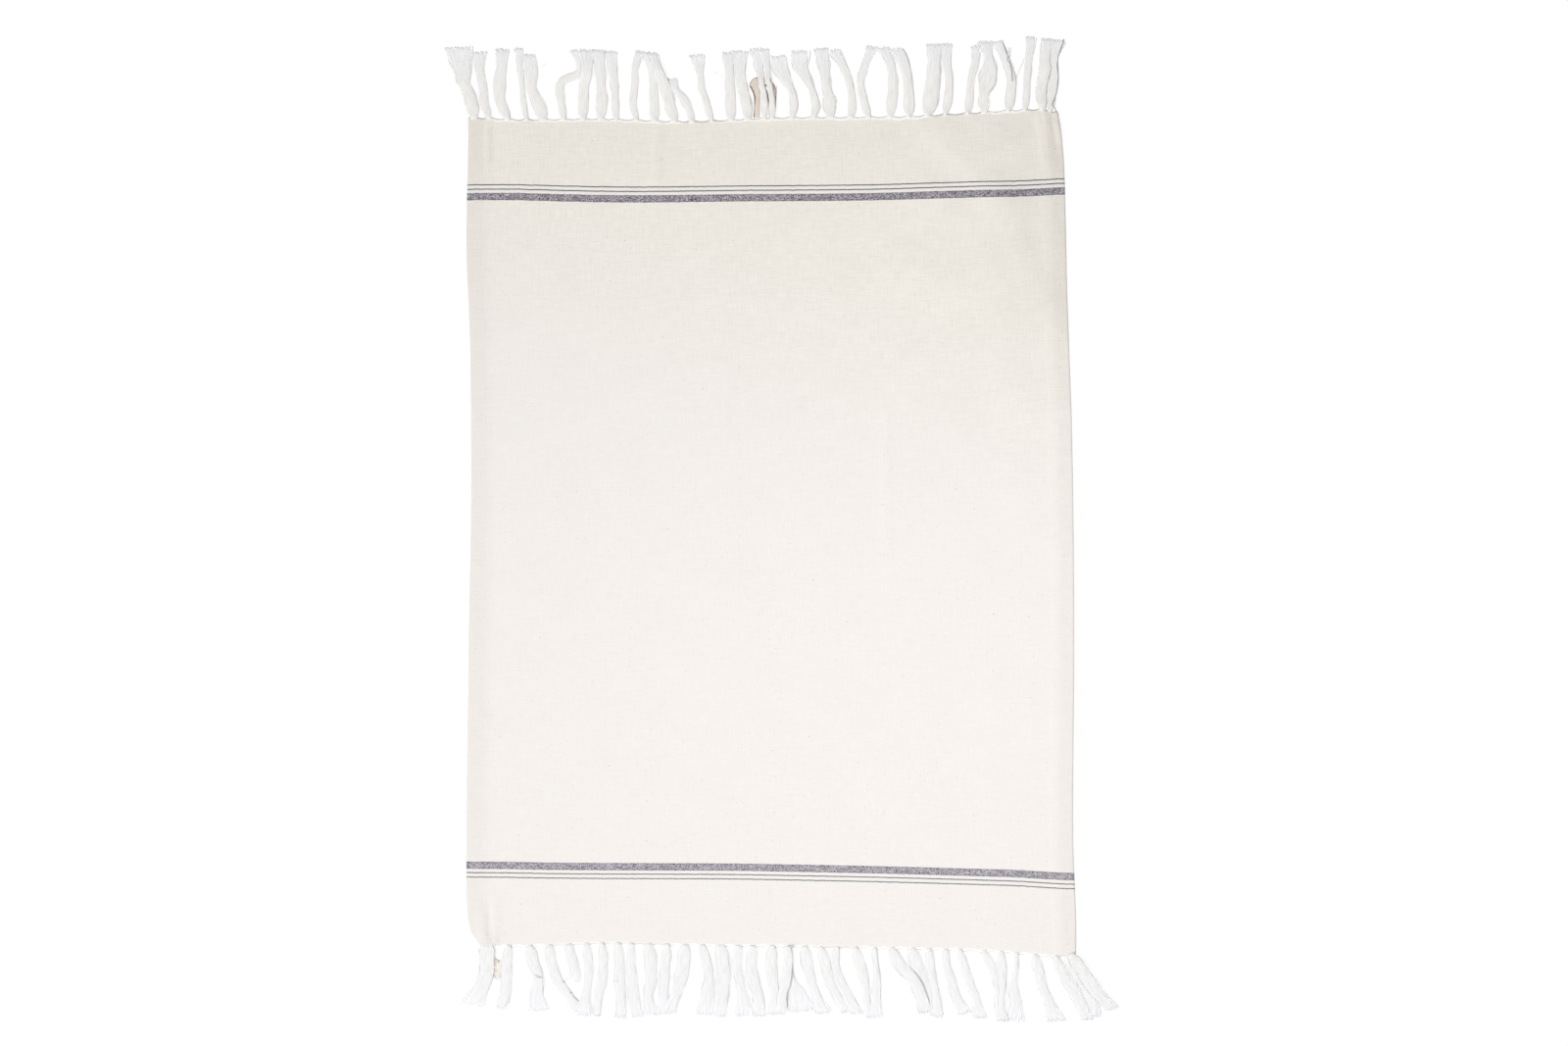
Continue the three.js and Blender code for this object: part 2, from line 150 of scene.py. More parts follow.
FOOT_TASSELS = [
    (-246.8, 51, 0, -0.8, -5.4, -12.5, 14, 13, 12.4, 13.5, 19),
    (-228.3, 53, -2, -2.7, -3.1, -7.7, 5.5, 8.5, 10.3, 9.5, 6.5),
    (-211.3, 54.5, 3.3, 8, 6.3, 7.5, 7.5, 10, 8.5, 11.5, 15.5),
    (-178.5, 30.5, 1.2, 3.2, 4.8, 1, 8, 8.5, 9, 9, 11),
    (-195, 56, 2, 6.5, 16.5, 25.5, 8.5, 9, 9, 8, 7),
    (-164, 61, 2, 2, -0.3, -1, 7, 8, 7.5, 8, 10.5),
    (-150.5, 61.5, 1, 0, -3.2, -4, 5, 8, 9, 7.3, 5),
    (-137.3, 63, 1.3, 1.5, 2.6, 2.5, 5.5, 8.8, 10, 8.7, 9.2),
    (-126.3, 62, 0.3, 1.3, 2.5, 5.5, 6.5, 7, 9, 10, 8.3),
    (-112.3, 60, 2.3, 2.5, 0.3, 2.3, 8, 10.5, 10, 8.8, 12),
    (-95.7, 59, -1.6, -2.8, -3.6, -3.7, 5, 8.5, 9, 8.8, 9.5),
    (-81, 57, -1.5, -3.5, -8.3, -12.5, 8, 11, 11, 9, 8),
    (-67.3, 58.5, 4, 6.1, 4.5, 3.3, 7, 8.5, 8.7, 11.5, 14),
    (-52, 59.7, 2.3, 2.7, 1.3, 0, 10, 12, 13, 11, 10),
    (-36.5, 59.2, -1.2, 1, 3.8, 5.2, 8, 8.5, 8, 10, 13),
    (-24.3, 59.2, -1.7, 0.3, 4.7, 5.5, 7.5, 10, 11, 9.8, 10),
    (-8, 57.7, -1, 0.2, 2, -0.5, 7, 10, 9.5, 8.5, 8),
    (6, 54.7, 0.5, 1.5, 6, 11, 6, 6, 8, 17, 20),
    (4.5, 56.7, 0.5, -1.5, -4.5, -6, 7.5, 7.5, 8.5, 8, 8),
    (18.2, 56.2, 3, 6, 11, 16, 7, 10, 8, 8, 12),
    (32, 55.2, 4.2, 7.5, 13.8, 22, 5, 9, 8.5, 8.5, 9),
    (46.2, 56.2, -1.7, 2.3, 9.6, 16.3, 5, 7.5, 8.5, 9, 10.5),
    (61, 59.7, 4.3, 8.3, 9.8, 13, 5, 9.5, 7.5, 6.5, 7),
    (77.3, 58.2, 1.2, 2.3, 1.5, 2.5, 5.5, 5.2, 7, 8.5, 8.5),
    (108.5, 56.2, 4, 9.5, 16, 21, 8, 11, 10, 10, 10),
    (91, 54.2, 7, 19, 25, 29.5, 6, 10, 9.5, 10, 10),
    (123, 57.2, 1.2, 4, 6.5, 8.5, 7, 8, 6.5, 7.5, 7),
    (136.7, 54.2, 1.3, 5, 9.5, 16.5, 7, 6.7, 8.7, 8.5, 11),
    (148.3, 57.7, 4.7, 9.4, 14.5, 17.7, 5, 7, 7.3, 7.5, 11),
    (168, 59.2, 8, 12.5, 13, 15, 6, 7.5, 7, 6.7, 7.5),
    (183, 58.2, 1, 1.5, 0.5, 3, 5.5, 8, 6, 5.5, 6),
    (195.8, 57.7, -0.2, -1.8, -0.3, -0.8, 5.5, 4.7, 7.5, 10.5, 13.5),
    (211.3, 55.7, 3.7, 7.4, 13, 18.5, 5.5, 9, 8, 9.5, 15),
    (239, 52.2, 4.5, 14, 21, 23.5, 6, 9, 9, 9, 9.5),
    (228.3, 53.7, 6, 14.7, 21.7, 27, 6, 9, 11, 10.5, 9),
    (241, 46.2, 8.5, 16.5, 25, 36, 7, 10, 11, 10.5, 10),
]
# Tassels whose way has more turns than that, by root: (share of the reach, sway) pairs.
BENT = {
    -182.5: [(0, 0), (0.14, -1), (0.32, -2.9), (0.48, -3.2), (0.565, -0.6), (0.605, 4.5),
             (0.645, 11), (0.72, 14.3), (0.87, 13), (1, 9)],
    -178.5: [(0, 0), (0.25, 1.2), (0.5, 3.4), (0.75, 5.2), (0.9, 4.6), (1, 2)],
}
YARN = 0.84            # spacing of a tassel's loose warp yarns
YARN_FAT = 1.2         # how much thicker than that a soft yarn is
YARN_FLAT = 0.7        # height of a yarn's section for its width
YARNS_PER_MM = 2.4     # loose yarns for each mm of a tassel's width
FEWEST_YARNS, MOST_YARNS = 13, 34
TALLEST = 3.4          # a tassel's greatest height
PACKING = 0.75         # share of a tassel's section that its yarns fill
CORE = {1: 0.87, -1: 0.89}   # share of its width that bundled yarns fill, at head and foot
YARN_SIDES, YARN_STATIONS, CORE_SIDES = 5, 24, 14
# The grids that say how high the yarns lie: their left edge, size and cells.
PILE_LEFT, PILE_SIZE, PILE_CELL = -310.0, (620, 100), 1.0
GOLDEN_ANGLE = math.radians(137.5)
ANY_PHASE = (0, 6.3)

# ---- the hanging loop, in mm
LOOP_THICKNESS = 2.0
LOOP_STATIONS = 64
LOOP_PATH = [      # x, y, and how far the tape reaches outwards and inwards from there
    (-21.1, 344.2, 2.4, 2.4), (-20.9, 355, 2.3, 2.4), (-20.9, 361, 2.2, 2.5),
    (-21, 365.4, 3.7, 2.6), (-20.2, 369, 7.4, 2.6), (-18.6, 371.2, 7.6, 2.6),
    (-14.6, 372.2, 5.2, 3), (-10.4, 369.6, 4.6, 4), (-8.9, 364, 4.2, 4), (-8.5, 354, 3.4, 3.2),
    (-8.6, 344.4, 2.4, 2.3),
]
# Its section, from left to right over the top and back underneath, as (aside, height).
LOOP_SECTION = [
    (-1, 0.45), (-0.96, 0.75), (-0.8, 0.95), (-0.4, 1), (0, 0.96), (0.4, 1), (0.8, 0.95),
    (0.96, 0.75), (1, 0.45), (0.96, 0.1), (0.5, 0), (0, 0), (-0.5, 0), (-0.96, 0.1),
]

rng = np.random.default_rng(7)


# ---- curves
def joined(*columns):
    """Rows of points, faces or pairs, from their columns."""
    return np.stack(np.broadcast_arrays(*columns), axis=-1)


def along(table, at):
    """A smooth line through (position, value) rows, read at any positions."""
    places, values = np.array(table, float).T
    last = len(places) - 1
    low = np.maximum(np.arange(last + 1) - 1, 0)
    high = np.minimum(np.arange(last + 1) + 1, last)
    slopes = (values[high] - values[low]) / (places[high] - places[low])
    i = np.clip(np.searchsorted(places, at, side="right") - 1, 0, last - 1)
    step = places[i + 1] - places[i]
    u = np.clip((at - places[i]) / step, 0, 1)
    bend = u * (1 - u) ** 2 * step * slopes[i] + u * u * (u - 1) * step * slopes[i + 1]
    return values[i] + (values[i + 1] - values[i]) * u * u * (3 - 2 * u) + bend


def ramp(x, low, high):
    """From 0 to 1 while x goes from low to high, starting and ending softly."""
    u = np.clip((x - low) / (high - low), 0, 1)
    return u * u * (3 - 2 * u)


def smooth_path(points, count):
    """Points spread along a smooth line through the given ones."""
    share = np.linspace(0, 1, len(points))
    at = np.linspace(0, 1, count)
    return joined(*(along(list(zip(share, column)), at) for column in zip(*points)))


def way_along(lines):
    """How far each point is along its line."""
    steps = np.linalg.norm(np.diff(lines, axis=-2), axis=-1)
    return np.concatenate([np.zeros_like(steps[..., :1]), np.cumsum(steps, axis=-1)], axis=-1)


def headings(path, *at):
    """Which way a flat path goes at each of its points, and which way is to its right."""
    heading = np.gradient(path, *at, axis=0)
    heading /= np.linalg.norm(heading, axis=1, keepdims=True)
    return heading, joined(heading[:, 1], -heading[:, 0])


def beside(x, y, start, end):
    """Where points are along a line, as shares of its length, and how far aside of it."""
    (x1, y1), (x2, y2) = start, end
    length = math.hypot(x2 - x1, y2 - y1)
    share = ((x - x1) * (x2 - x1) + (y - y1) * (y2 - y1)) / length ** 2
    return share, ((x - x1) * (y2 - y1) - (y - y1) * (x2 - x1)) / length


def on_edge(edge, share):
    """Points of an edge: how far along it they are, and how far out it lies there."""
    place = edge[0][0] + (edge[-1][0] - edge[0][0]) * np.asarray(share, float)
    return np.array([place, along(edge, place)])


def on_cloth(across, up):
    """x and y of points of the cloth, from their shares of the way across and up it."""
    corners = [[on_edge(end, share)[:, None, None] for share in (0, 1)] for end in (FOOT, HEAD)]
    sides = on_edge(LEFT_SIDE, up)[::-1] * (1 - across) + on_edge(RIGHT_SIDE, up)[::-1] * across
    ends = on_edge(FOOT, across) * (1 - up) + on_edge(HEAD, across) * up
    foot, head = [row[0] * (1 - across) + row[1] * across for row in corners]
    return sides + ends - foot * (1 - up) - head * up


def lift_at(x, y):
    """How far the folds lift the cloth off the table."""
    lift = np.zeros(np.broadcast(x, y).shape)
    for start, end, half, rise in FOLDS:
        share, aside = beside(x, y, start, end)
        aside = aside / half
        inside = (np.abs(aside) < 1) & (share > 0) & (share < 1.2)
        ridge = rise * ramp(share, 0, 0.35) * (1 - np.clip(aside, -1, 1) ** 2) ** 2
        lift = np.maximum(lift, np.where(inside, ridge, 0))
    return lift


def ripples(x, y, count, longest, shortest, height):
    """Waves in all directions that together reach from -height to height or so."""
    total = np.zeros(np.broadcast(x, y).shape)
    for _ in range(count):
        wavelength = rng.uniform(shortest, longest)
        heading, phase = rng.uniform(0, math.tau, 2)
        run = x * math.cos(heading) + y * math.sin(heading)
        total += np.sin(math.tau * run / wavelength + phase)
    return total * height / math.sqrt(count)


# ---- meshes
def table_shift():
    """What puts the towel's own millimetres where the CAD cloth's box is."""
    share = np.linspace(0, 1, 400)
    left, right, foot, head = [on_edge(edge, share)[1]
                               for edge in (LEFT_SIDE, RIGHT_SIDE, FOOT, HEAD)]
    low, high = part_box("cloth")
    return np.array([(low.x + high.x) / 2 / MM - (left.min() + right.max()) / 2,
                     (low.y + high.y) / 2 / MM - (foot.min() + head.max()) / 2, 0])


SHIFT = table_shift()


def add_object(name, data):
    made = bpy.data.objects.new(name, data)
    bpy.context.scene.collection.objects.link(made)
    return made


def mesh_object(name, points, quads, triangles, material, quad_uv, triangle_uv=(), values=()):
    """A smooth-shaded mesh piece from arrays, with one UV map and named point values."""
    mesh = bpy.data.meshes.new(name)
    quads, triangles = np.asarray(quads, int), np.asarray(triangles, int).reshape(-1, 3)
    corners = np.concatenate([quads.ravel(), triangles.ravel()])
    sizes = np.repeat([4, 3], [len(quads), len(triangles)])
    mesh.vertices.add(len(points))
    mesh.vertices.foreach_set("co", ((points + SHIFT) * MM).astype(np.float32).ravel())
    mesh.loops.add(len(corners))
    mesh.loops.foreach_set("vertex_index", corners.astype(np.int32))
    mesh.polygons.add(len(sizes))
    mesh.polygons.foreach_set("loop_start", (np.cumsum(sizes) - sizes).astype(np.int32))
    mesh.polygons.foreach_set("use_smooth", np.ones(len(sizes), bool))
    uv = [np.asarray(part, float).reshape(-1, 2) for part in (quad_uv, triangle_uv)]
    layer = mesh.uv_layers.new(name="flat")
    layer.data.foreach_set("uv", np.concatenate(uv).astype(np.float32).ravel())
    for key, value in values:
        attribute = mesh.attributes.new(key, "FLOAT", "POINT")
        attribute.data.foreach_set("value", np.asarray(value, np.float32).ravel())
    mesh.update()
    mesh.validate()
    mesh.materials.append(material)
    return add_object(name, mesh)


def ring_corners(rings, sides):
    """The ring, and the place in it, of each corner of the quads between rings of points."""
    ring, place = np.divmod(np.arange((rings - 1) * sides)[:, None], sides)
    return ring + np.array([0, 0, 1, 1]), place + np.array([0, 1, 1, 0])


def turned_over(quads):
    return quads[:, [0, 3, 2, 1]]


def tubes(lines, radii, sides):
    """Closed tubes round lines of shape (count, stations, 3), by half-widths aside and up."""
    count, stations, _ = lines.shape
    heading = np.gradient(lines, axis=1)
    heading /= np.linalg.norm(heading, axis=2, keepdims=True) + 1e-9
    aside = np.cross(heading, [0.0, 0.0, 1.0])
    flat = np.linalg.norm(aside, axis=2, keepdims=True)
    aside = np.where(flat > 0.05, aside / (flat + 1e-9), [1.0, 0.0, 0.0])
    over = np.cross(aside, heading)
    turn = math.tau * np.arange(sides) / sides
    radii = np.broadcast_to(radii, (count, stations, 2))
    rings = (lines[:, :, None, :] + (
        np.cos(turn)[:, None] * aside[:, :, None, :] * radii[:, :, None, :1]
        + np.sin(turn)[:, None] * over[:, :, None, :] * radii[:, :, None, 1:]))
    tips = lines[:, [0, -1]] + heading[:, [0, -1]] * radii[:, [0, -1], 1:] * [[[-0.4], [0.4]]]
    points = np.concatenate([rings.reshape(count, -1, 3), tips], axis=1)

    station, place = ring_corners(stations, sides)
    quads = station * sides + place % sides
    ring = np.arange(sides)
    after, last = (ring + 1) % sides, (stations - 1) * sides
    tip = stations * sides
    triangles = np.concatenate([joined(after, ring, tip),
                                joined(last + ring, last + after, tip + 1)])
    offset = points.shape[1] * np.arange(count)[:, None, None]
    length = way_along(lines)
    quad_uv = joined(place / sides, length[:, station])
    triangle_uv = np.zeros((count, len(triangles), 3, 2))
    triangle_uv[:, sides:, :, 1] = length[:, -1][:, None, None]
    return (points.reshape(-1, 3), (quads + offset).reshape(-1, 4),
            (triangles + offset).reshape(-1, 3), quad_uv.reshape(-1, 2), triangle_uv.reshape(-1, 2))


def tube_object(name, groups, sides, material):
    """One piece from groups of (lines, radii, tones); age goes from 0 at the root to 1."""
    parts = []
    start = 0
    for lines, radii, tone in groups:
        points, quads, triangles, *uv = tubes(lines, radii, sides)
        values = []
        for value in (tone, np.linspace(0, 1, lines.shape[1])):
            value = np.broadcast_to(value, lines.shape[:2])
            rings = np.repeat(value, sides, axis=1)
            values.append(np.concatenate([rings, value[:, [0, -1]]], axis=1).ravel())
        parts.append((points, quads + start, triangles + start, *uv, *values))
        start += len(points)
    points, quads, triangles, quad_uv, triangle_uv, tones, ages = map(np.concatenate, zip(*parts))
    return mesh_object(name, points, quads, triangles, material, quad_uv, triangle_uv,
                       [("tone", tones), ("age", ages)])


# ---- materials
class Nodes:
    """A node tree; each node added to it is fed by numbers or other sockets."""

    def __init__(self, tree):
        self.tree = tree

    def node(self, kind, settings=None, *values, **named):
        node = self.tree.nodes.new("ShaderNode" + kind)
        for key, value in (settings or {}).items():
            setattr(node, key, value)
        for socket, value in zip(node.inputs, values):
            self.feed(socket, value)
        for key, value in named.items():
            self.feed(node.inputs[key.replace("_", " ")], value)
        return node

    def feed(self, socket, value):
        if isinstance(value, bpy.types.NodeSocket):
            self.tree.links.new(value, socket)
        else:
            socket.default_value = value

    def math(self, operation, a, b=0.0, c=0.0):
        return self.node("Math", {"operation": operation}, a, b, c).outputs[0]

    def times(self, a, b):
        return self.math("MULTIPLY", a, b)

    def linear(self, x, slope, start):
        """x times slope, plus start."""
        return self.math("MULTIPLY_ADD", x, slope, start)

    def mix(self, share, a, b):
        node = self.node("Mix", {"data_type": "RGBA"}, Factor=share, A=a, B=b)
        return node.outputs["Result"]

    def scaled(self, colour, factor):
        """A colour made lighter or darker by a factor."""
        return self.node("VectorMath", {"operation": "SCALE"}, colour, Scale=factor).outputs[0]

    def ramp(self, x, low, high):
        return self.node("MapRange", {"interpolation_type": "SMOOTHSTEP"}, Value=x,
                         From_Min=low, From_Max=high).outputs[0]

    def between(self, x, low, high, soft):
        """1 where x is from low to high, falling to 0 within soft of them."""
        half = (high - low) / 2
        away = self.math("ABSOLUTE", self.math("SUBTRACT", x, (low + high) / 2))
        return self.ramp(away, half + soft / 2, half - soft / 2)

    def noise(self, place, scale, detail=2.0):
        return self.node("TexNoise", {"noise_dimensions": "3D"}, Vector=self.point(*place),
                         Scale=scale, Detail=detail).outputs[0]

    def point(self, x, y, z=0.0):
        return self.node("CombineXYZ", None, x, y, z).outputs[0]

    def split(self, vector):
        return self.node("SeparateXYZ", Vector=vector).outputs

    def value(self, name):
        return self.node("Attribute", {"attribute_name": name}).outputs["Fac"]


class Finish(Nodes):
    """The look of a soft surface: a material with its shader."""

    def __init__(self, name, roughness, sheen=0.0):
        self.material = bpy.data.materials.new(name)
        self.material.use_nodes = True
        super().__init__(self.material.node_tree)
        self.inputs = self.tree.nodes["Principled BSDF"].inputs
        for key, value in (("Roughness", roughness), ("Sheen Weight", sheen),
                           ("Sheen Roughness", 0.5), ("Specular IOR Level", 0.25)):
            self.inputs[key].default_value = value
        flat = self.split(self.node("UVMap", {"uv_map": "flat"}).outputs[0])
        self.u, self.v = flat[0], flat[1]

    def done(self, colour, height, depth, fuzz=0.0):
        """Relief is height, from 0 to 1, times depth in metres; fuzz lights a round yarn
        more as if all of it faced up."""
        self.feed(self.inputs["Base Color"], colour)
        bump = self.node("Bump", Height=height, Distance=depth, Strength=1.0).outputs[0]
        lit = self.node("VectorMath", {"operation": "ADD"}, bump, (0, 0, fuzz)).outputs[0]
        facing = self.node("VectorMath", {"operation": "NORMALIZE"}, lit).outputs[0]
        self.feed(self.inputs["Normal"], facing)
        return self.material


CREAM = (0.923, 0.884, 0.848, 1)
CREAM_HEAD = (0.916, 0.872, 0.801, 1)      # towards the head it has yellowed a little
HEM_SHADE = (0.77, 0.72, 0.66, 1)
WHITE_WEFT = (0.9, 0.885, 0.865, 1)
CHARCOAL = (0.075, 0.07, 0.07, 1)
BAND_DARK = (0.06, 0.056, 0.07, 1)
BAND_PALE = (0.64, 0.6, 0.65, 1)
TAN = (0.84, 0.745, 0.655, 1)
# Dark tan of the tape's edge; it also paints shade along the tape's left leg and in gaps over the
# tape.
TAN_EDGE_SHADE = (0.3, 0.21, 0.14, 1)
# Grey for the threads that paint shade.
PAINTED_SHADE_GREY = (0.42, 0.4, 0.43, 1)
WEB_TONE = (0.9, 0.85, 0.8, 1)
NEP = (0.3, 0.22, 0.16, 1)
THREAD_PITCH = 0.8     # mm from one thread of the cloth to the next
RIB_PITCH = 0.8        # mm from one rib of the tape to the next
TWIST_PITCH = 2.2      # mm in which a yarn's plies go once round it
YARN_FUZZ, FOOT_FUZZ = 0.7, 1.2    # how much more soft yarns are lit from above
COTTON_ROUGH, YARN_ROUGH = 0.92, 0.9
# Depths of relief, in metres.
WEAVE_DEPTH, TWIST_DEPTH, BUNDLE_DEPTH, RIB_DEPTH = 0.00022, 0.00003, 0.0002, 0.00004
# Stripes, as (from, to, softness) in mm inwards of the outer thin one.
WHITE_STRIPE, BAND, BAND_MIDDLE = (-1.2, 14, 1.0), (6.95, 13.1, 0.4), (7.6, 12.5, 0.5)
THIN_STRIPES = ((-0.46, 0.46, 0.25), (3.28, 4.2, 0.25))
# Neps: mm from one to the next, radius in mm, share left out and strength.
NEPS = ((15, 0.32, 0.84, 0.62), (9, 0.4, 0.6, 0.2), (5, 0.35, 0.6, 0.12))


def ground(f, across, up, slubs):
    """The plain cloth's colour, and how light it is from place to place."""
    cloudy = f.noise((across, up), 0.02, 3.0)
    grain = f.noise((across, up), 1.1)
    # Yellowing grows towards the head; its lean to the right also paints the shade of the folds at
    # the head's right.
    yellowing_and_fold_shade = f.ramp(f.linear(across, 0.25, up), 440, 710)
    tone = f.linear(f.math("SUBTRACT", slubs, 1.0), f.linear(yellowing_and_fold_shade, 0.09, 0.08), 0.93)
    tone = f.linear(grain, 0.09, f.linear(cloudy, 0.02, tone))
    # Painted shade darkens the head's right corner, where its folds lie and the light falls off.
    painted_corner_shade = f.times(f.between(across, 445, 600, 70), f.between(up, 505, 800, 110))
    tone = f.times(tone, f.linear(painted_corner_shade, -0.05, 1.0))
    inner = f.between(across, SEAM, FLAT_WIDTH - SEAM, 12)
    hem = f.times(f.math("SUBTRACT", 1.0, inner), f.linear(yellowing_and_fold_shade, 0.12, 0.25))
    return f.mix(hem, f.mix(yellowing_and_fold_shade, CREAM, CREAM_HEAD), HEM_SHADE), tone


def with_neps(f, colour, across, up, warp_slubs, weft_slubs):
    """Short bits of husk, most of them faint, thrown about unevenly."""
    patchy = f.noise((across, up, 20.0), 0.045)
    warped = f.point(f.linear(warp_slubs, 1.2, across), f.linear(weft_slubs, 1.2, up))
    for size, radius, share, strength in NEPS:
        cells = f.node("TexVoronoi", {"voronoi_dimensions": "2D"}, Vector=warped,
                       Scale=1 / size).outputs
        near = f.math("LESS_THAN", cells["Distance"], radius / size)
        lot = f.split(cells["Color"])[0]
        picked = f.math("GREATER_THAN", f.linear(patchy, 0.5, lot), share + 0.25)
        colour = f.mix(f.times(f.times(near, picked), strength), colour, NEP)
    return colour


def with_stripes(f, colour, across, up):
    """Stripes, by the distance from the nearer end; their threads wander a little."""
    at_head = f.math("GREATER_THAN", up, FLAT_LENGTH / 2)
    wander = f.linear(f.noise((across, 0.0, at_head), 0.2), 0.8, -0.4)
    end = f.math("ADD", f.math("MINIMUM", up, f.math("SUBTRACT", FLAT_LENGTH, up)), wander)

    def stripe(low, high, soft):
        return f.between(end, STRIPE_IN + low, STRIPE_IN + high, soft)

    colour = f.mix(f.times(stripe(*WHITE_STRIPE), 0.6), colour, WHITE_WEFT)
    dashes = f.linear(f.noise((across, 5.0, end), 1.2), 1.6, 0.25)
    lines = f.math("MAXIMUM", *(stripe(*thin) for thin in THIN_STRIPES))
    lines = f.times(f.times(lines, f.linear(at_head, 0.17, 0.8)), dashes)
    colour = f.mix(f.math("MINIMUM", lines, 0.96), colour, CHARCOAL)
    fibres = f.noise((across, f.times(up, 1.4), 7.0), 1.1, 3.0)
    blotch = f.noise((across, f.times(up, 1.5), 3.0), 0.45)
    speck = f.linear(fibres, 3.7, f.linear(blotch, 0.9, f.linear(at_head, -0.13, -1.72)))
    rims = f.math("SUBTRACT", 1.0, stripe(*BAND_MIDDLE))
    heather = f.mix(f.times(rims, 0.35), f.mix(speck, BAND_DARK, BAND_PALE), BAND_DARK)
    return f.mix(stripe(*BAND), colour, heather)


def woven_cotton():
    """Plain weave with slubs, neps, and thin lines and a heathered band at each end."""
    f = Finish("woven_cotton", COTTON_ROUGH, 0.05)
    across, up = f.times(f.u, FLAT_WIDTH), f.times(f.v, FLAT_LENGTH)
    # Threads go over and under, and each is a little thicker or thinner along its way.
    warp = f.math("SINE", f.times(across, math.pi / THREAD_PITCH))
    weft = f.math("SINE", f.times(up, math.pi / THREAD_PITCH))
    weave = f.linear(f.times(warp, weft), 0.5, 0.5)
    warp_slubs = f.noise((across, f.times(up, 0.1)), 0.75, 4.0)
    weft_slubs = f.noise((f.times(across, 0.12), up, 9.0), 0.75, 4.0)
    slubs = f.math("ADD", warp_slubs, weft_slubs)
    colour, tone = ground(f, across, up, slubs)
    colour = with_neps(f, colour, across, up, warp_slubs, weft_slubs)
    colour = with_stripes(f, colour, across, up)
    return f.done(f.scaled(colour, tone), f.linear(slubs, 0.5, f.times(weave, 0.14)), WEAVE_DEPTH)


def yarn_colour(f, root, tip):
    """Creamier at the root than at the cut end, whose whiter, bluer colour partly paints the light
    coming through the thin tips.
    """
    return f.mix(f.math("POWER", f.value("age"), 2.5), root, tip)


def twisted_yarn(name, root, tip=None, fuzz=YARN_FUZZ):
    """Soft plied yarn, each with its own tone; without a tip colour it is all one colour."""
    f = Finish(name, YARN_ROUGH)
    twist = f.math("SINE", f.linear(f.v, math.tau / TWIST_PITCH, f.times(f.u, math.tau)))
    tone = f.value("tone")
    fibres = f.noise((f.times(f.u, 3.0), f.v, tone), 2.5, 3.0)
    colour = f.scaled(yarn_colour(f, root, tip or root), f.linear(fibres, 0.05, tone))
    return f.done(colour, f.linear(twist, 0.5, fibres), TWIST_DEPTH, fuzz)


def bundled_yarn(name, root, tip):
    """The inside of a tassel: yarns side by side."""
    f = Finish(name, YARN_ROUGH)
    streaks = f.noise((f.times(f.u, 34.0), f.times(f.v, 0.12)), 1.0, 3.0)
    colour = f.scaled(yarn_colour(f, root, tip), f.linear(streaks, 0.3, 0.82))
    return f.done(colour, streaks, BUNDLE_DEPTH, YARN_FUZZ)


def tan_tape():
    """Tan twill tape with faint slanting ribs, browner along its outer edge; the brown there also
    paints the shadow of the tassel beside its left leg.
    """
    f = Finish("tan_tape", YARN_ROUGH)
    slant = f.linear(f.u, 0.5, f.v)
    ribs = f.math("SINE", f.times(slant, math.tau / RIB_PITCH))
    wear = f.noise((f.u, f.v), 0.5, 3.0)
    tone = f.linear(ribs, 0.015, f.linear(wear, 0.12, 0.93))
    edge = f.between(f.u, -1, 0.5, 0.6)
    colour = f.mix(f.times(edge, 0.8), TAN, TAN_EDGE_SHADE)
    return f.done(f.scaled(colour, tone), f.linear(ribs, 0.5, 0.5), RIB_DEPTH)


# ---- the cloth
def stations(length, edge, fine, coarse):
    """Places from 0 to length, fine within edge of both ends and coarse between."""
    near = np.arange(0, edge, fine)
    middle = np.linspace(edge, length - edge, int((length - 2 * edge) / coarse))
    return np.concatenate([near, middle, length - near[::-1]])


ACROSS_STATIONS = stations(FLAT_WIDTH, 22, 1.0, 4.0)
UP_STATIONS = stations(FLAT_LENGTH, 14, 1.0, 4.2)
SCALLOP = 0.6          # how far the end stands out at a tassel
RIPPLE_ROOM = 0.2      # how much higher the upper side lies, as room for its ripples
SLOW_RIPPLES = (14, 130, 45, 0.16)     # how many, longest, shortest, height
FINE_RIPPLES = (10, 26, 12, 0.07)


def end_scallops(x, tassels):
    """The end stands out a little at each tassel and draws in between."""
    roots = np.sort([row[0] for row in tassels])
    i = np.clip(np.searchsorted(roots, x) - 1, 0, len(roots) - 2)
    share = (x - roots[i]) / (roots[i + 1] - roots[i])
    return SCALLOP * np.cos(math.tau * share)


def hem_profile(inwards):
    """Thickness of the cloth at a distance from its side: a flat double hem, stitched down."""
    round_edge = np.sqrt(np.clip(1 - (1 - np.clip(inwards / 1.6, 0, 1)) ** 2, 0, 1))
    double = 1 - ramp(inwards, HEM_WIDTH - 6, HEM_WIDTH + 6)
    hem = THICKNESS + (HEM_THICKNESS - THICKNESS) * double
    seam = 0.04 * np.exp(-((inwards - SEAM) / 1.2) ** 2)
    return (hem - seam) * (0.75 + 0.25 * round_edge)


def crease_depth(x, y):
    """How far the narrow creases are pressed in, tapering to nothing at their inner ends."""
    depth = np.zeros(x.shape)
    for start, end, half, deep in CREASES:
        share, aside = beside(x, y, start, end)
        reach = ramp(share, -0.2, 0) * (1 - ramp(share, 0.4, 1))
        depth = np.maximum(depth, deep * reach * np.exp(-(aside / half) ** 2))
    return depth


def flat_height(x, y):
    """How far up the flat cloth the points are: the stripes bow with the cloth as it lies."""
    knots = [along(edge, x) for edge in (FOOT, FOOT_STRIPE, HEAD_STRIPE, HEAD)]
    flats = [0, STRIPE_IN, FLAT_LENGTH - STRIPE_IN, FLAT_LENGTH]
    zones = [flats[k] + (flats[k + 1] - flats[k]) * (y - knots[k]) / (knots[k + 1] - knots[k])
             for k in range(3)]
    return np.select([y < knots[1], y < knots[2]], zones[:2], zones[2])


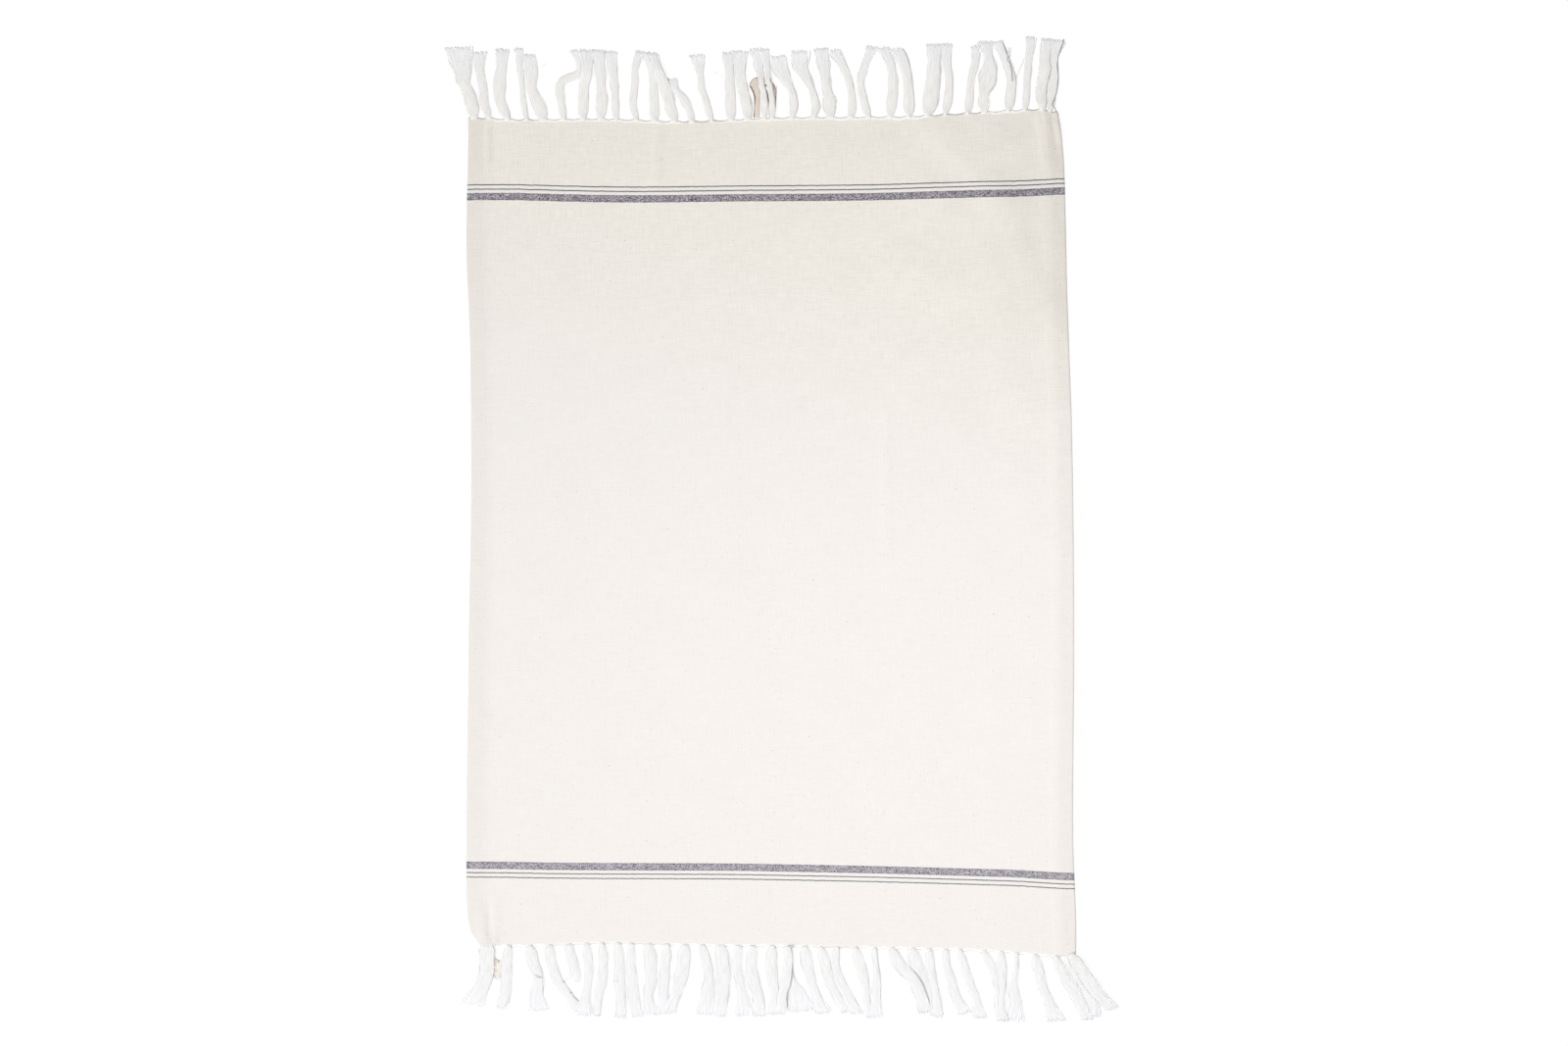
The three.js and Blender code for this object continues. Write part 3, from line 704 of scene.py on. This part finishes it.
def cloth_surface():
    """The grid of the cloth: x, y, the under and upper heights, and its place when flat."""
    across, up = np.meshgrid(ACROSS_STATIONS / FLAT_WIDTH, UP_STATIONS / FLAT_LENGTH)
    x, y = on_cloth(across, up)
    y = y + end_scallops(x, HEAD_TASSELS) * ramp(up, 0.985, 1)
    y = y - end_scallops(x, FOOT_TASSELS) * ramp(up, 0.015, 0)
    inwards = np.minimum(across, 1 - across) * FLAT_WIDTH
    under = lift_at(x, y)
    # The head's right corner is less smooth than the rest.
    uneasy = ramp(x + 0.6 * y, 120, 300)
    soft = ripples(x, y, *SLOW_RIPPLES) * (1 + 2.2 * uneasy)
    crimp = ripples(x, y, *FINE_RIPPLES) * (1 + 0.6 * uneasy) * (1 - ramp(inwards, 6, 26))
    over = under + hem_profile(inwards) + RIPPLE_ROOM + soft + crimp - crease_depth(x, y)
    return SimpleNamespace(x=x, y=y, under=under, over=over, flat_x=across,
                           flat_y=flat_height(x, y) / FLAT_LENGTH)


def make_cloth(surface, material):
    """The sheet: its upper and under sides, and a sharp-edged wall between them."""
    rows, size = surface.x.shape
    layer = rows * size
    points = np.concatenate([joined(surface.x, surface.y, z).reshape(-1, 3)
                             for z in (surface.under, surface.over)])
    row, column = ring_corners(rows, size - 1)
    sheet = row * size + column
    grid = np.arange(layer).reshape(rows, size)
    rim = np.concatenate([grid[0], grid[1:, -1], grid[-1, -2::-1], grid[-2:0:-1, 0]])
    after = np.roll(rim, -1)
    wall = joined(rim, after, after + layer, rim + layer)
    quads = np.concatenate([sheet + layer, turned_over(sheet), wall])
    flat = joined(surface.flat_x.ravel(), surface.flat_y.ravel())
    uv = np.concatenate([flat, flat])[quads]
    cloth = mesh_object("towel_cloth", points, quads, [], material, uv)
    cloth.data.polygons.foreach_set("use_smooth", np.arange(len(quads)) < 2 * len(sheet))
    return cloth


# ---- what lies under a yarn
class Pile:
    """The height of what lies on the table so far, near one end, on a grid of cells."""

    def __init__(self, low_y):
        self.low = PILE_LEFT, low_y
        self.height = np.zeros([int(size / PILE_CELL) for size in PILE_SIZE])

    def cells(self, *place):
        return tuple(np.clip(((at - low) / PILE_CELL).astype(int), 0, size - 1)
                     for at, low, size in zip(place, self.low, self.height.shape))

    def top(self, x, y):
        return self.height[self.cells(x, y)]

    def add(self, x, y, z):
        np.maximum.at(self.height, self.cells(x, y), z)


def across_strip(path, aside, widths, share, count):
    """Points across a strip of the given widths, at shares from -share to share of half."""
    reach = np.linspace(-share, share, count)[None, :] * widths[:, None] / 2
    return [path[:, None, k] + aside[:, None, k] * reach for k in (0, 1)]


def smoothed(values, rounds):
    """Values with their dips filled in."""
    for _ in range(rounds):
        padded = np.concatenate([values[:1], values, values[-1:]])
        values = np.maximum(values, (padded[:-2] + 2 * padded[1:-1] + padded[2:]) / 4)
    return values


# ---- tassels
QUARTERS = (0, 0.25, 0.5, 0.75, 1)
ROOT_INSIDE = 0.8      # how far inside the end the yarns start
STRIP_EDGE, STRIP_POINTS = 0.95, 15    # the part of a tassel's width that joins the pile
WILD_SHARE, WILDNESS = 0.12, 1.2       # the yarns that wave more, and how much more
END_LENGTHS = (-0.6, 0.8)              # how much shorter or longer yarns were cut


def tassel(row):
    """A row of the tassel tables, with names."""
    root, reach, *sways = row[:6]
    neck, *widths = row[6:]
    return SimpleNamespace(root=root, reach=reach, sways=sways, neck=neck, widths=widths)


def tassel_shape(t, share):
    """How far aside the middle of a tassel is, and how wide it is, at shares of its reach."""
    swing = BENT.get(t.root) or list(zip(QUARTERS, (0, *t.sways)))
    belly = 0.25 * t.neck + 0.82 * t.widths[0]
    widths = (t.neck * 0.72, belly, *(width * 1.05 for width in t.widths[:3]), t.widths[3] * 1.13)
    return along(swing, share), along(list(zip((0, 0.1, *QUARTERS[1:]), widths)), share)


def tassel_course(t, end, outward):
    """The stations of a tassel: shares of its reach, path, heading, way aside and width."""
    even = np.linspace(0, 1, 400)
    step = np.hypot(np.diff(tassel_shape(t, even)[0]), t.reach * np.diff(even))
    way = np.concatenate([[0], np.cumsum(step)]) / step.sum()
    share = np.interp(np.linspace(0, 1, YARN_STATIONS) ** 1.15, way, even)
    sway, width = tassel_shape(t, share)
    out = outward * (t.reach * share - ROOT_INSIDE)
    path = joined(t.root + sway, along(end, t.root) + out)
    heading, aside = headings(path, share)
    # All were cut along one line, so towards their ends they lie side by side along it.
    cut_line = (0.75 * ramp(share, 0.45, 1))[:, None]
    aside = aside * (1 - cut_line) + np.array([outward, 0.0]) * cut_line
    return share, path, heading, aside, width


def lay_tassel(share, path, aside, width, height, pile):
    """How high what lies there holds the tassel, which is then added to the pile."""
    under = pile.top(*across_strip(path, aside, width, 0.7, 9)).max(axis=1)
    lift = lift_at(path[:, 0], path[:, 1]) * (1 - ramp(share, 0.05, 0.4))
    base = smoothed(np.maximum(under, lift), 6) * (1 - 0.6 * ramp(share, 0.75, 1))
    fine = np.linspace(0, 1, 4 * YARN_STATIONS)
    *ways, wide, low, tall = [np.interp(fine, share, values)
                              for values in (*path.T, *aside.T, width, base, height)]
    crown = np.sqrt(1 - np.linspace(-STRIP_EDGE, STRIP_EDGE, STRIP_POINTS) ** 2)
    x, y = across_strip(joined(*ways[:2]), joined(*ways[2:]), wide, STRIP_EDGE, STRIP_POINTS)
    pile.add(x, y, low[:, None] + tall[:, None] * crown)
    return base


def yarn_places(count, share, flatness):
    """Each yarn's place aside and up in the slowly turning bundle, from -1 to 1; where the
    bundle is flat, they spread evenly."""
    number = np.arange(count)[:, None]
    out = np.sqrt((number + 0.5) / count)
    angle = number * GOLDEN_ANGLE + rng.uniform(*ANY_PHASE) + rng.uniform(-1.1, 1.1) * share
    aside = out * np.cos(angle)
    spread = (aside * np.sqrt(1 - aside * aside) + np.arcsin(aside)) * 2 / math.pi
    return aside + (spread - aside) * flatness, out * np.sin(angle)


def yarn_waves(count, run):
    """How far each yarn waves from its place; a few wave more."""
    wild = 1 + WILDNESS * (rng.random((count, 1)) > 1 - WILD_SHARE)
    return sum(rng.uniform(0.12, 0.33, (count, 1)) * np.sin(
        math.tau * run / rng.uniform(13, 34, (count, 1)) + rng.uniform(*ANY_PHASE, (count, 1)))
        for _ in range(3)) * wild


def yarn_tones(count, share, side, root, outward):
    """Streaks, and painted shade along each tassel's right side: both are stronger towards the
    head's right.
    """
    streak_and_shade = 0.03 if outward < 0 else 0.05 + 0.07 * ramp(root, -60, 140)
    streak_and_shade = streak_and_shade * (1 - 0.8 * ramp(share, 0.75, 0.95))
    return 1 - streak_and_shade * rng.random((count, 1)) ** 2 - 1.6 * streak_and_shade * ramp(outward * side, 0.8, 0.9)


def tassel_yarns(row, end, outward, pile):
    """One tassel, laid over what the pile holds: lines, radii and tones, yarns and core."""
    t = tassel(row)
    share, path, heading, aside, width = tassel_course(t, end, outward)
    count = round(YARNS_PER_MM * (sum(t.widths[:3]) / 3))
    count = int(np.clip(count, FEWEST_YARNS, MOST_YARNS))
    height = np.minimum(count * YARN ** 2 / (PACKING * width), TALLEST)
    height = height * (1 - 0.5 * ramp(share, 0.75, 1))
    base = lay_tassel(share, path, aside, width, height, pile)

    flatness = np.maximum(ramp(width / height, 2, 6), ramp(share, 0.8, 1))
    side, up = yarn_places(count, share, flatness)
    wave = yarn_waves(count, t.reach * share)
    fan = rng.normal(0, 0.7, (count, 1)) * ramp(share, 0.75, 1)
    beside_middle = side * (width - YARN) / 2 + (wave + fan) * ramp(share, 0, 0.2)
    longer = rng.uniform(*END_LENGTHS, (count, 1)) - rng.exponential(0.4, (count, 1))
    longer = longer * ramp(share, 0.6, 1)
    rise = base + YARN / 2 + np.maximum(height - YARN, 0) / 2 * (1 + up)
    lines = joined(*(path[:, k] + aside[:, k] * beside_middle + heading[:, k] * longer
                     for k in (0, 1)), rise)
    radii = YARN_FAT * YARN / 2 * rng.uniform(0.85, 1.1, (count, 1))
    radii = radii * (1 + 0.2 * ramp(share, 0.7, 0.9) - 0.6 * ramp(share, 0.93, 1))
    radii = radii * np.clip(width / (0.62 * count * YARN), 1, 1.5)
    radii = joined(radii, np.minimum(YARN_FLAT * radii, rise))
    tone = yarn_tones(count, share, side, t.root, outward)

    core = joined(*path.T, base + height / 2)
    core[-1] = core[-2] + (core[-1] - core[-2]) * 0.4
    core_radii = CORE[outward] * joined(width, 0.9 * height) / 2
    core_radii = core_radii * (1 - ramp(share, 0.93, 1) * 0.6)[:, None]
    return (lines, radii, tone), (core[None], core_radii[None], 1.0)


def frayed_ends(yarns, outward):
    """Two fine fibres out of each yarn, where its cut end has come apart."""
    lines = np.repeat(yarns[:, -5:], 2, axis=0)
    part = np.linspace(0, 1, 5) ** 1.5
    spread = rng.normal(0, 0.9, (len(lines), 1)) * part
    beyond = rng.uniform(-1.5, 1.2, (len(lines), 1)) * part * outward
    height = lines[..., 2] * (1 - 0.3 * part)
    return joined(lines[..., 0] + spread, lines[..., 1] + beyond, height)


FRAYED_RADII = np.array([[0.16], [0.16], [0.14], [0.12], [0.08]])
FRAYED_SIDES = 4


def make_fringe(end, frayed_yarn):
    """One end's loose yarns, the bundled yarns they hide, and their frayed ends."""
    laid = [tassel_yarns(row, end.line, end.outward, end.pile) for row in end.tassels]
    loose, cores = zip(*laid)
    frayed = np.concatenate([frayed_ends(group[0], end.outward) for group in loose])
    name = end.name + "_fringe"
    return [tube_object(name, loose, YARN_SIDES, end.yarn),
            tube_object(name + "_cores", cores, CORE_SIDES, end.bundle),
            tube_object(name + "_ends", [(frayed, FRAYED_RADII, 1.0)], FRAYED_SIDES, frayed_yarn)]


# ---- the binding of one end
BINDING_ROPES = ((0.3, 1.4), (1.3, 1.5))      # how far inside the end, and how high, each lies
BINDING_STEPS = 560
ROPE_PITCH = 4.2
ROLL_INSIDE, ROLL_HEIGHT = 0.9, 0.85
ROLL_RADII = np.array([1.4, 0.8])
ROPE_RADIUS, NECK_RADIUS, STITCH_RADIUS = 0.18, 0.15, 0.14
# The thread round a neck: how far outside the end it lies, its half-width as a share of
# the neck's width, its middle and reach in height, and the least height of all.
NECK_OUT, NECK_HALF = 1.3, 0.36
NECK_MIDDLE, NECK_REACH, NECK_LOWEST = 1.3, 1.7, 0.4


def neck_turn(t, end, outward):
    """A turn of thread round a tassel's neck, from the table on one side to the other."""
    neck_y = along(end, t.root)
    angle = np.linspace(-0.25 * math.pi, 1.25 * math.pi, 13)
    slant = rng.uniform(-0.6, 0.6)
    rise = float(lift_at(t.root, neck_y)) + NECK_MIDDLE + NECK_REACH * np.sin(angle)
    return joined(t.root + t.neck * NECK_HALF * np.cos(angle),
                  neck_y + outward * (NECK_OUT + slant * np.cos(angle)),
                  np.maximum(rise, NECK_LOWEST))


def make_binding(end, material):
    """A soft roll along the end, two twisted threads on it, and one round each neck."""
    line = end.line
    x = np.linspace(line[0][0] + 1, line[-1][0] - 1, BINDING_STEPS)
    scallops = end_scallops(x, end.tassels)
    y = along(line, x) + end.outward * (scallops - ROLL_INSIDE)
    groups = [(joined(x, y, lift_at(x, y) + ROLL_HEIGHT)[None], ROLL_RADII, 0.99)]
    for inside, high in BINDING_ROPES:
        y = along(line, x) + end.outward * (scallops - inside)
        for phase in (0, math.pi):
            turn = math.tau * x / ROPE_PITCH + phase
            rope = joined(x, y + 0.3 * np.cos(turn), lift_at(x, y) + high + 0.1 * np.sin(turn))
            groups.append((rope[None], ROPE_RADIUS, 1.0))
    for row in end.tassels:
        turn = neck_turn(tassel(row), line, end.outward)
        groups.append((turn[None], NECK_RADIUS, 1.0))
    return tube_object(end.name + "_binding", groups, 6, material)


# ---- stitching, loop and threads
STITCH_PITCH, STITCH = 3.4, 2.5
STITCH_COLUMN = 14     # the grid's column that the stitches follow, from either side


def make_stitching(over, material):
    """A running stitch down each side hem, sunk in the cloth; none shows on the stripes."""
    start = (np.arange(int(FLAT_LENGTH / STITCH_PITCH) - 1) + 0.6) * STITCH_PITCH
    from_end = np.minimum(start, FLAT_LENGTH - start)
    start = start[np.abs(from_end - STRIPE_IN - 5) > 11]
    run = start[:, None] + np.linspace(0, STITCH, 5)[None, :]
    groups = []
    for column in (STITCH_COLUMN, len(ACROSS_STATIONS) - 1 - STITCH_COLUMN):
        across = np.full(run.shape, ACROSS_STATIONS[column] / FLAT_WIDTH)
        x, y = on_cloth(across, run / FLAT_LENGTH)
        z = np.interp(run, UP_STATIONS, over[:, column])
        z = z - 0.15 + 0.1 * np.sin(np.linspace(0, math.pi, 5))
        groups.append((joined(x, y, z), STITCH_RADIUS, 0.97))
    return tube_object("hem_stitching", groups, 5, material)


def make_loop(material, pile):
    """The tape, bent into a hairpin: a section carried along its path."""
    path, outwards, inwards = np.split(smooth_path(LOOP_PATH, LOOP_STATIONS), [2, 3], axis=1)
    _, aside = headings(path)
    path = path + aside * (inwards - outwards) / 2
    width = outwards + inwards
    half = width / 2
    section = np.array(LOOP_SECTION)
    wave = 0.18 * np.sin(np.linspace(0, 21, LOOP_STATIONS))
    x, y = [path[:, None, k] + aside[:, None, k] * section[:, 0] * half for k in (0, 1)]
    z = section[:, 1] * (LOOP_THICKNESS + wave[:, None] * (section[:, 1] > 0.5))
    points = joined(x, y, z).reshape(-1, 3)
    size = len(section)
    station, place = ring_corners(LOOP_STATIONS, size)
    # The section runs the other way round than a tube's ring does.
    quads = turned_over(station * size + place % size)
    fan = np.arange(1, size - 1)
    start = joined(0, fan, fan + 1)
    triangles = np.concatenate([start, (LOOP_STATIONS - 1) * size + start[:, [0, 2, 1]]])
    flat = joined((1 + section[:, 0]) * half, way_along(path)[:, None]).reshape(-1, 2)
    strip_x, strip_y = across_strip(path, aside, width[:, 0], 1, 9)
    pile.add(strip_x, strip_y, np.full(strip_x.shape, LOOP_THICKNESS + 0.2))
    return mesh_object("loop_tape", points, quads, triangles, material, flat[quads], flat[triangles])


# Single threads: radius, and way as x, y and, where it has one, height over what lies there.
STRAYS = [
    (0.17, [(-203, 385, 0.2), (-200, 387.6, 1.6), (-197, 390, 0.5)]),
    (0.2, [(-59, 383, 0.5), (-55.5, 382, 1.2), (-52, 380, 1.6), (-49.5, 377, 1), (-47, 373)]),
    (0.17, [(25.5, 387, 0.6), (27, 382, 1.2), (29.5, 376.5, 1), (33, 371)]),
    (0.32, [(195.6, 377, 0.2), (198.3, 383.5, 1.2), (201, 390, 0.4), (202.4, 394, 0.2)]),
    (0.25, [(194.6, 378, 0.2), (193.6, 384, 0.8), (193.2, 390, 0.4)]),
    (0.5, [(187.4, 391, 0.2), (189, 397.5, 0.3), (189.6, 402.6, 0.3)]),
    (0.5, [(189, 390, 0.2), (190.6, 396.5, 0.3), (191.2, 403, 0.3)]),
    (0.17, [(-145, -380, 0.2), (-142.6, -378.3, 0.8), (-140, -377.5, 0.8), (-137, -378, 0.2)]),
    (0.17, [(-37.5, -378, 0.2), (-40, -383, 0.6), (-43, -388, 0.5), (-42, -397, 0.3),
            (-39.5, -404, 0.1)]),
    (0.3, [(-208, -371.6, -0.2), (-203.5, -373.6, -0.1), (-199.2, -374.4, -0.3)]),
    (0.3, [(-207.8, -372.8, -0.2), (-203.5, -374.8, -0.1), (-199.2, -375.4, -0.3)]),
]
# Dark tan threads along the loop tape's left edge and in gaps between the yarns over it: they paint
# the shade in those gaps, with the tan of the tape beneath; the last lies in the web of two foot
# tassels.
TAN_AND_SHADE_THREADS = [
    (0.4, [(-26.9, 370.6), (-25.2, 367.2), (-23.8, 364.6), (-23, 360.3),
           (-23.1, 352), (-23.5, 344.6)]),
    (0.12, [(-29, 371), (-28, 366), (-27, 361), (-26.1, 355)]),
    (0.45, [(-13.9, 371.7, 0.1), (-13.3, 370, 0.1)]),
    (0.16, [(-13.4, 369.8), (-12.8, 366.7), (-11.8, 363), (-10.9, 357, -0.1)]),
    (0.28, [(-10, 376.5), (-9, 373.6)]),
    (0.18, [(-7.4, 373.4), (-6.6, 370), (-6.2, 366.4)]),
    (0.18, [(-4.9, 371), (-4.6, 367), (-5, 362.5), (-5.7, 358.5)]),
    (0.16, [(-241.2, -359.6, 0.9), (-240.6, -362.5, 0.8), (-240.9, -366, 0.7)]),
]
# Grey threads that paint shade: along the shaded side of a tassel, and where tassels cross.
PAINTED_SHADE_THREADS = [
    (0.4, [(236, 410), (231.8, 399), (230.2, 389), (231.4, 379), (230.2, 370),
           (228.6, 361.5), (226, 355)]),
    (0.35, [(225.6, 354.6), (228, 352.6, 0.1), (229.4, 350, 0.1), (231, 347.5, 1.7)]),
    (0.3, [(184.5, 407), (187, 400), (190, 392.5), (191.8, 383), (192.6, 374.5)]),
    (0.25, [(101.5, 402), (105.5, 394.5), (107, 387)]),
    (0.3, [(-240, -358.2, 0.9), (-238.4, -359.8, 0.8), (-236.6, -361.9, 0.9)]),
    (0.2, [(-241, -368, 0.7), (-241, -371, 0.7), (-241.4, -374, 0.7)]),
    (0.3, [(-174.8, -390), (-172.4, -392), (-169.6, -394.6)]),
    (0.4, [(-177, -387.1), (-176, -387.8)]),
    (0.4, [(-183.4, -377.8), (-181.4, -379)]),
    (0.16, [(-205.5, -373.4), (-202.4, -374.4), (-199.6, -374.9, -0.1)]),
]


def web_thread(y):
    """One thread of a web between two tassels of the foot."""
    return (0.36, [(-241.6 + 0.5 * math.sin(5 * y), y, 0.3),
                   (-238.6, y - 2.2 + 0.5 * math.sin(9 * y), 0.1),
                   (-235.6 + 0.5 * math.sin(7 * y), y - 1.4, 0.3)])


WEB = [web_thread(y) for y in np.arange(-357.6, -374, -0.62)]
THREAD_STATIONS = 20


def make_threads(name, rows, tone, material):
    """Single threads, each laid over what lies at its own end of the towel."""
    groups = []
    for radius, points in rows:
        line = smooth_path([(*point, 0)[:3] for point in points], THREAD_STATIONS)
        length = math.dist(points[0][:2], points[-1][:2])
        waves = np.sin(np.linspace(0, rng.uniform(9, 16), THREAD_STATIONS))
        line[:, 0] += 0.006 * length * waves
        pile = head.pile if points[0][1] > 0 else foot.pile
        lying = pile.top(line[:, 0], line[:, 1])
        line[:, 2] += np.convolve(np.pad(lying, 2, mode="edge"), np.ones(5) / 5, "valid") + radius
        groups.append((line[None], radius, tone))
    return tube_object(name, groups, 5, material)


# ---- camera, lights and floor, in metres
PICTURE_WIDTH = 1.312   # of table across the picture
PICTURE_MIDDLE = (0.0017, 0.0057)
LENS, SENSOR = 100, 36
DAYLIGHT = 0.35         # strength of the white room as a light; seen, it is 1
TABLE_TOP = -0.00002    # a hair below the towel, so that the two never share a plane
TABLE_HALF = 6
TABLE_WHITE, TABLE_SEEN, TABLE_GLOW = 0.75, 0.22, 0.84   # as it lights; when seen; its glow then
# Lamps: place, size, and share of the light at the towel's middle.
SOFTBOXES = [((-2.0, -1.1, 2.3), 1.3, 0.38), ((0.36, -0.14, 0.98), 0.45, 0.31)]


def make_camera():
    camera = add_object("camera", bpy.data.cameras.new("camera"))
    camera.data.lens, camera.data.sensor_width = LENS, SENSOR
    camera.location = (*PICTURE_MIDDLE, PICTURE_WIDTH * LENS / SENSOR)
    camera.data.clip_start, camera.data.clip_end = 0.1, 20
    bpy.context.scene.camera = camera


def softbox(place, size, share):
    """A round lamp aimed at the towel, giving that share of the light at the towel's middle."""
    far = math.hypot(*place)
    light = bpy.data.lights.new("softbox", "AREA")
    light.shape, light.size = "DISK", size
    light.energy = share * math.pi ** 2 * far ** 3 / place[2]
    lamp = add_object("softbox", light)
    lamp.location = place
    lamp.rotation_euler = (math.acos(place[2] / far), 0, math.atan2(place[0], -place[1]))


def make_stage():
    """A white table: the camera sees it as white, less the towel's shadow."""
    mesh = bpy.data.meshes.new("table_top")
    corners = [(-1, -1), (1, -1), (1, 1), (-1, 1)]
    mesh.from_pydata([(TABLE_HALF * x, TABLE_HALF * y, TABLE_TOP) for x, y in corners], [],
                     [(0, 1, 2, 3)])
    floor = add_object("table_top", mesh)
    material = bpy.data.materials.new("white_table")
    material.use_nodes = True
    n = Nodes(material.node_tree)
    n.tree.nodes.clear()
    rays = n.node("LightPath").outputs
    seen = n.math("MAXIMUM", rays["Is Camera Ray"], rays["Is Glossy Ray"])
    white = n.linear(seen, TABLE_SEEN - TABLE_WHITE, TABLE_WHITE)
    diffuse = n.node("BsdfDiffuse", Color=white).outputs[0]
    glow = n.node("Emission", Strength=n.times(seen, TABLE_GLOW)).outputs[0]
    total = n.node("AddShader", None, diffuse, glow).outputs[0]
    n.node("OutputMaterial", Surface=total)
    mesh.materials.append(material)
    return floor


def make_lights():
    """Two lamps in a white room, which lights less than it shows."""
    scene = bpy.context.scene
    scene.view_settings.view_transform = "Standard"
    scene.world = bpy.data.worlds.new("studio")
    scene.world.use_nodes = True
    n = Nodes(scene.world.node_tree)
    rays = n.node("LightPath").outputs
    seen = n.math("MAXIMUM", rays["Is Camera Ray"], rays["Is Glossy Ray"])
    seen = n.math("MAXIMUM", seen, rays["Is Transmission Ray"])
    background = n.tree.nodes["Background"].inputs
    background["Color"].default_value = (1, 1, 1, 1)
    n.feed(background["Strength"], n.linear(seen, 1 - DAYLIGHT, DAYLIGHT))
    for lamp in SOFTBOXES:
        softbox(*lamp)


# ---- put together
HEAD_YARN = ((0.965, 0.955, 0.92, 1), (0.985, 0.985, 1, 1))     # at the root, at the tip
FOOT_YARN = ((0.93, 0.925, 0.92, 1), (0.945, 0.945, 0.965, 1))
HEAD_EDGE, FOOT_EDGE = (0.99, 0.98, 0.95, 1), (1.0, 0.99, 0.975, 1)


def towel_end(name, tassels, line, outward, low_y, colours, fuzz):
    """What belongs to one end of the towel."""
    return SimpleNamespace(name=name, tassels=tassels, line=line, outward=outward,
                           pile=Pile(low_y), yarn=twisted_yarn(name + "_yarn", *colours, fuzz),
                           bundle=bundled_yarn(name + "_bundle", *colours))


make_camera()
make_lights()
floor = make_stage()

head = towel_end("head", HEAD_TASSELS, HEAD, 1, 330.0, HEAD_YARN, YARN_FUZZ)
foot = towel_end("foot", FOOT_TASSELS, FOOT, -1, -425.0, FOOT_YARN, FOOT_FUZZ)
frayed_yarn = twisted_yarn("frayed_yarn", HEAD_YARN[1])
surface = cloth_surface()
cloth = make_cloth(surface, woven_cotton())
loop = make_loop(tan_tape(), head.pile)
head_fringe, head_cores, head_ends = make_fringe(head, frayed_yarn)
foot_fringe, foot_cores, foot_ends = make_fringe(foot, frayed_yarn)
head_binding = make_binding(head, twisted_yarn("head_edge", HEAD_EDGE))
foot_binding = make_binding(foot, twisted_yarn("foot_edge", FOOT_EDGE))
stitching = make_stitching(surface.over, foot.yarn)
strays = make_threads("stray_yarns", STRAYS, 0.93, head.yarn)
tan_and_shade_threads = make_threads("tan_and_shade_threads", TAN_AND_SHADE_THREADS, 1.0, twisted_yarn("tan_and_shade_thread", TAN_EDGE_SHADE))
painted_shade_threads = make_threads("painted_shade_threads", PAINTED_SHADE_THREADS, 1.0, twisted_yarn("painted_shade_thread", PAINTED_SHADE_GREY))
web = make_threads("tassel_web", WEB, 1.0, twisted_yarn("web_yarn", WEB_TONE))

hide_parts("cloth")
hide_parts("hanging_loop")
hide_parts("fringe_head")
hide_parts("fringe_foot")
trim = [loop, head_fringe, head_cores, head_ends, foot_fringe, foot_cores, foot_ends,
        head_binding, foot_binding, stitching, strays, web, tan_and_shade_threads, painted_shade_threads]
for piece in [cloth, *trim]:
    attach(piece, "root")
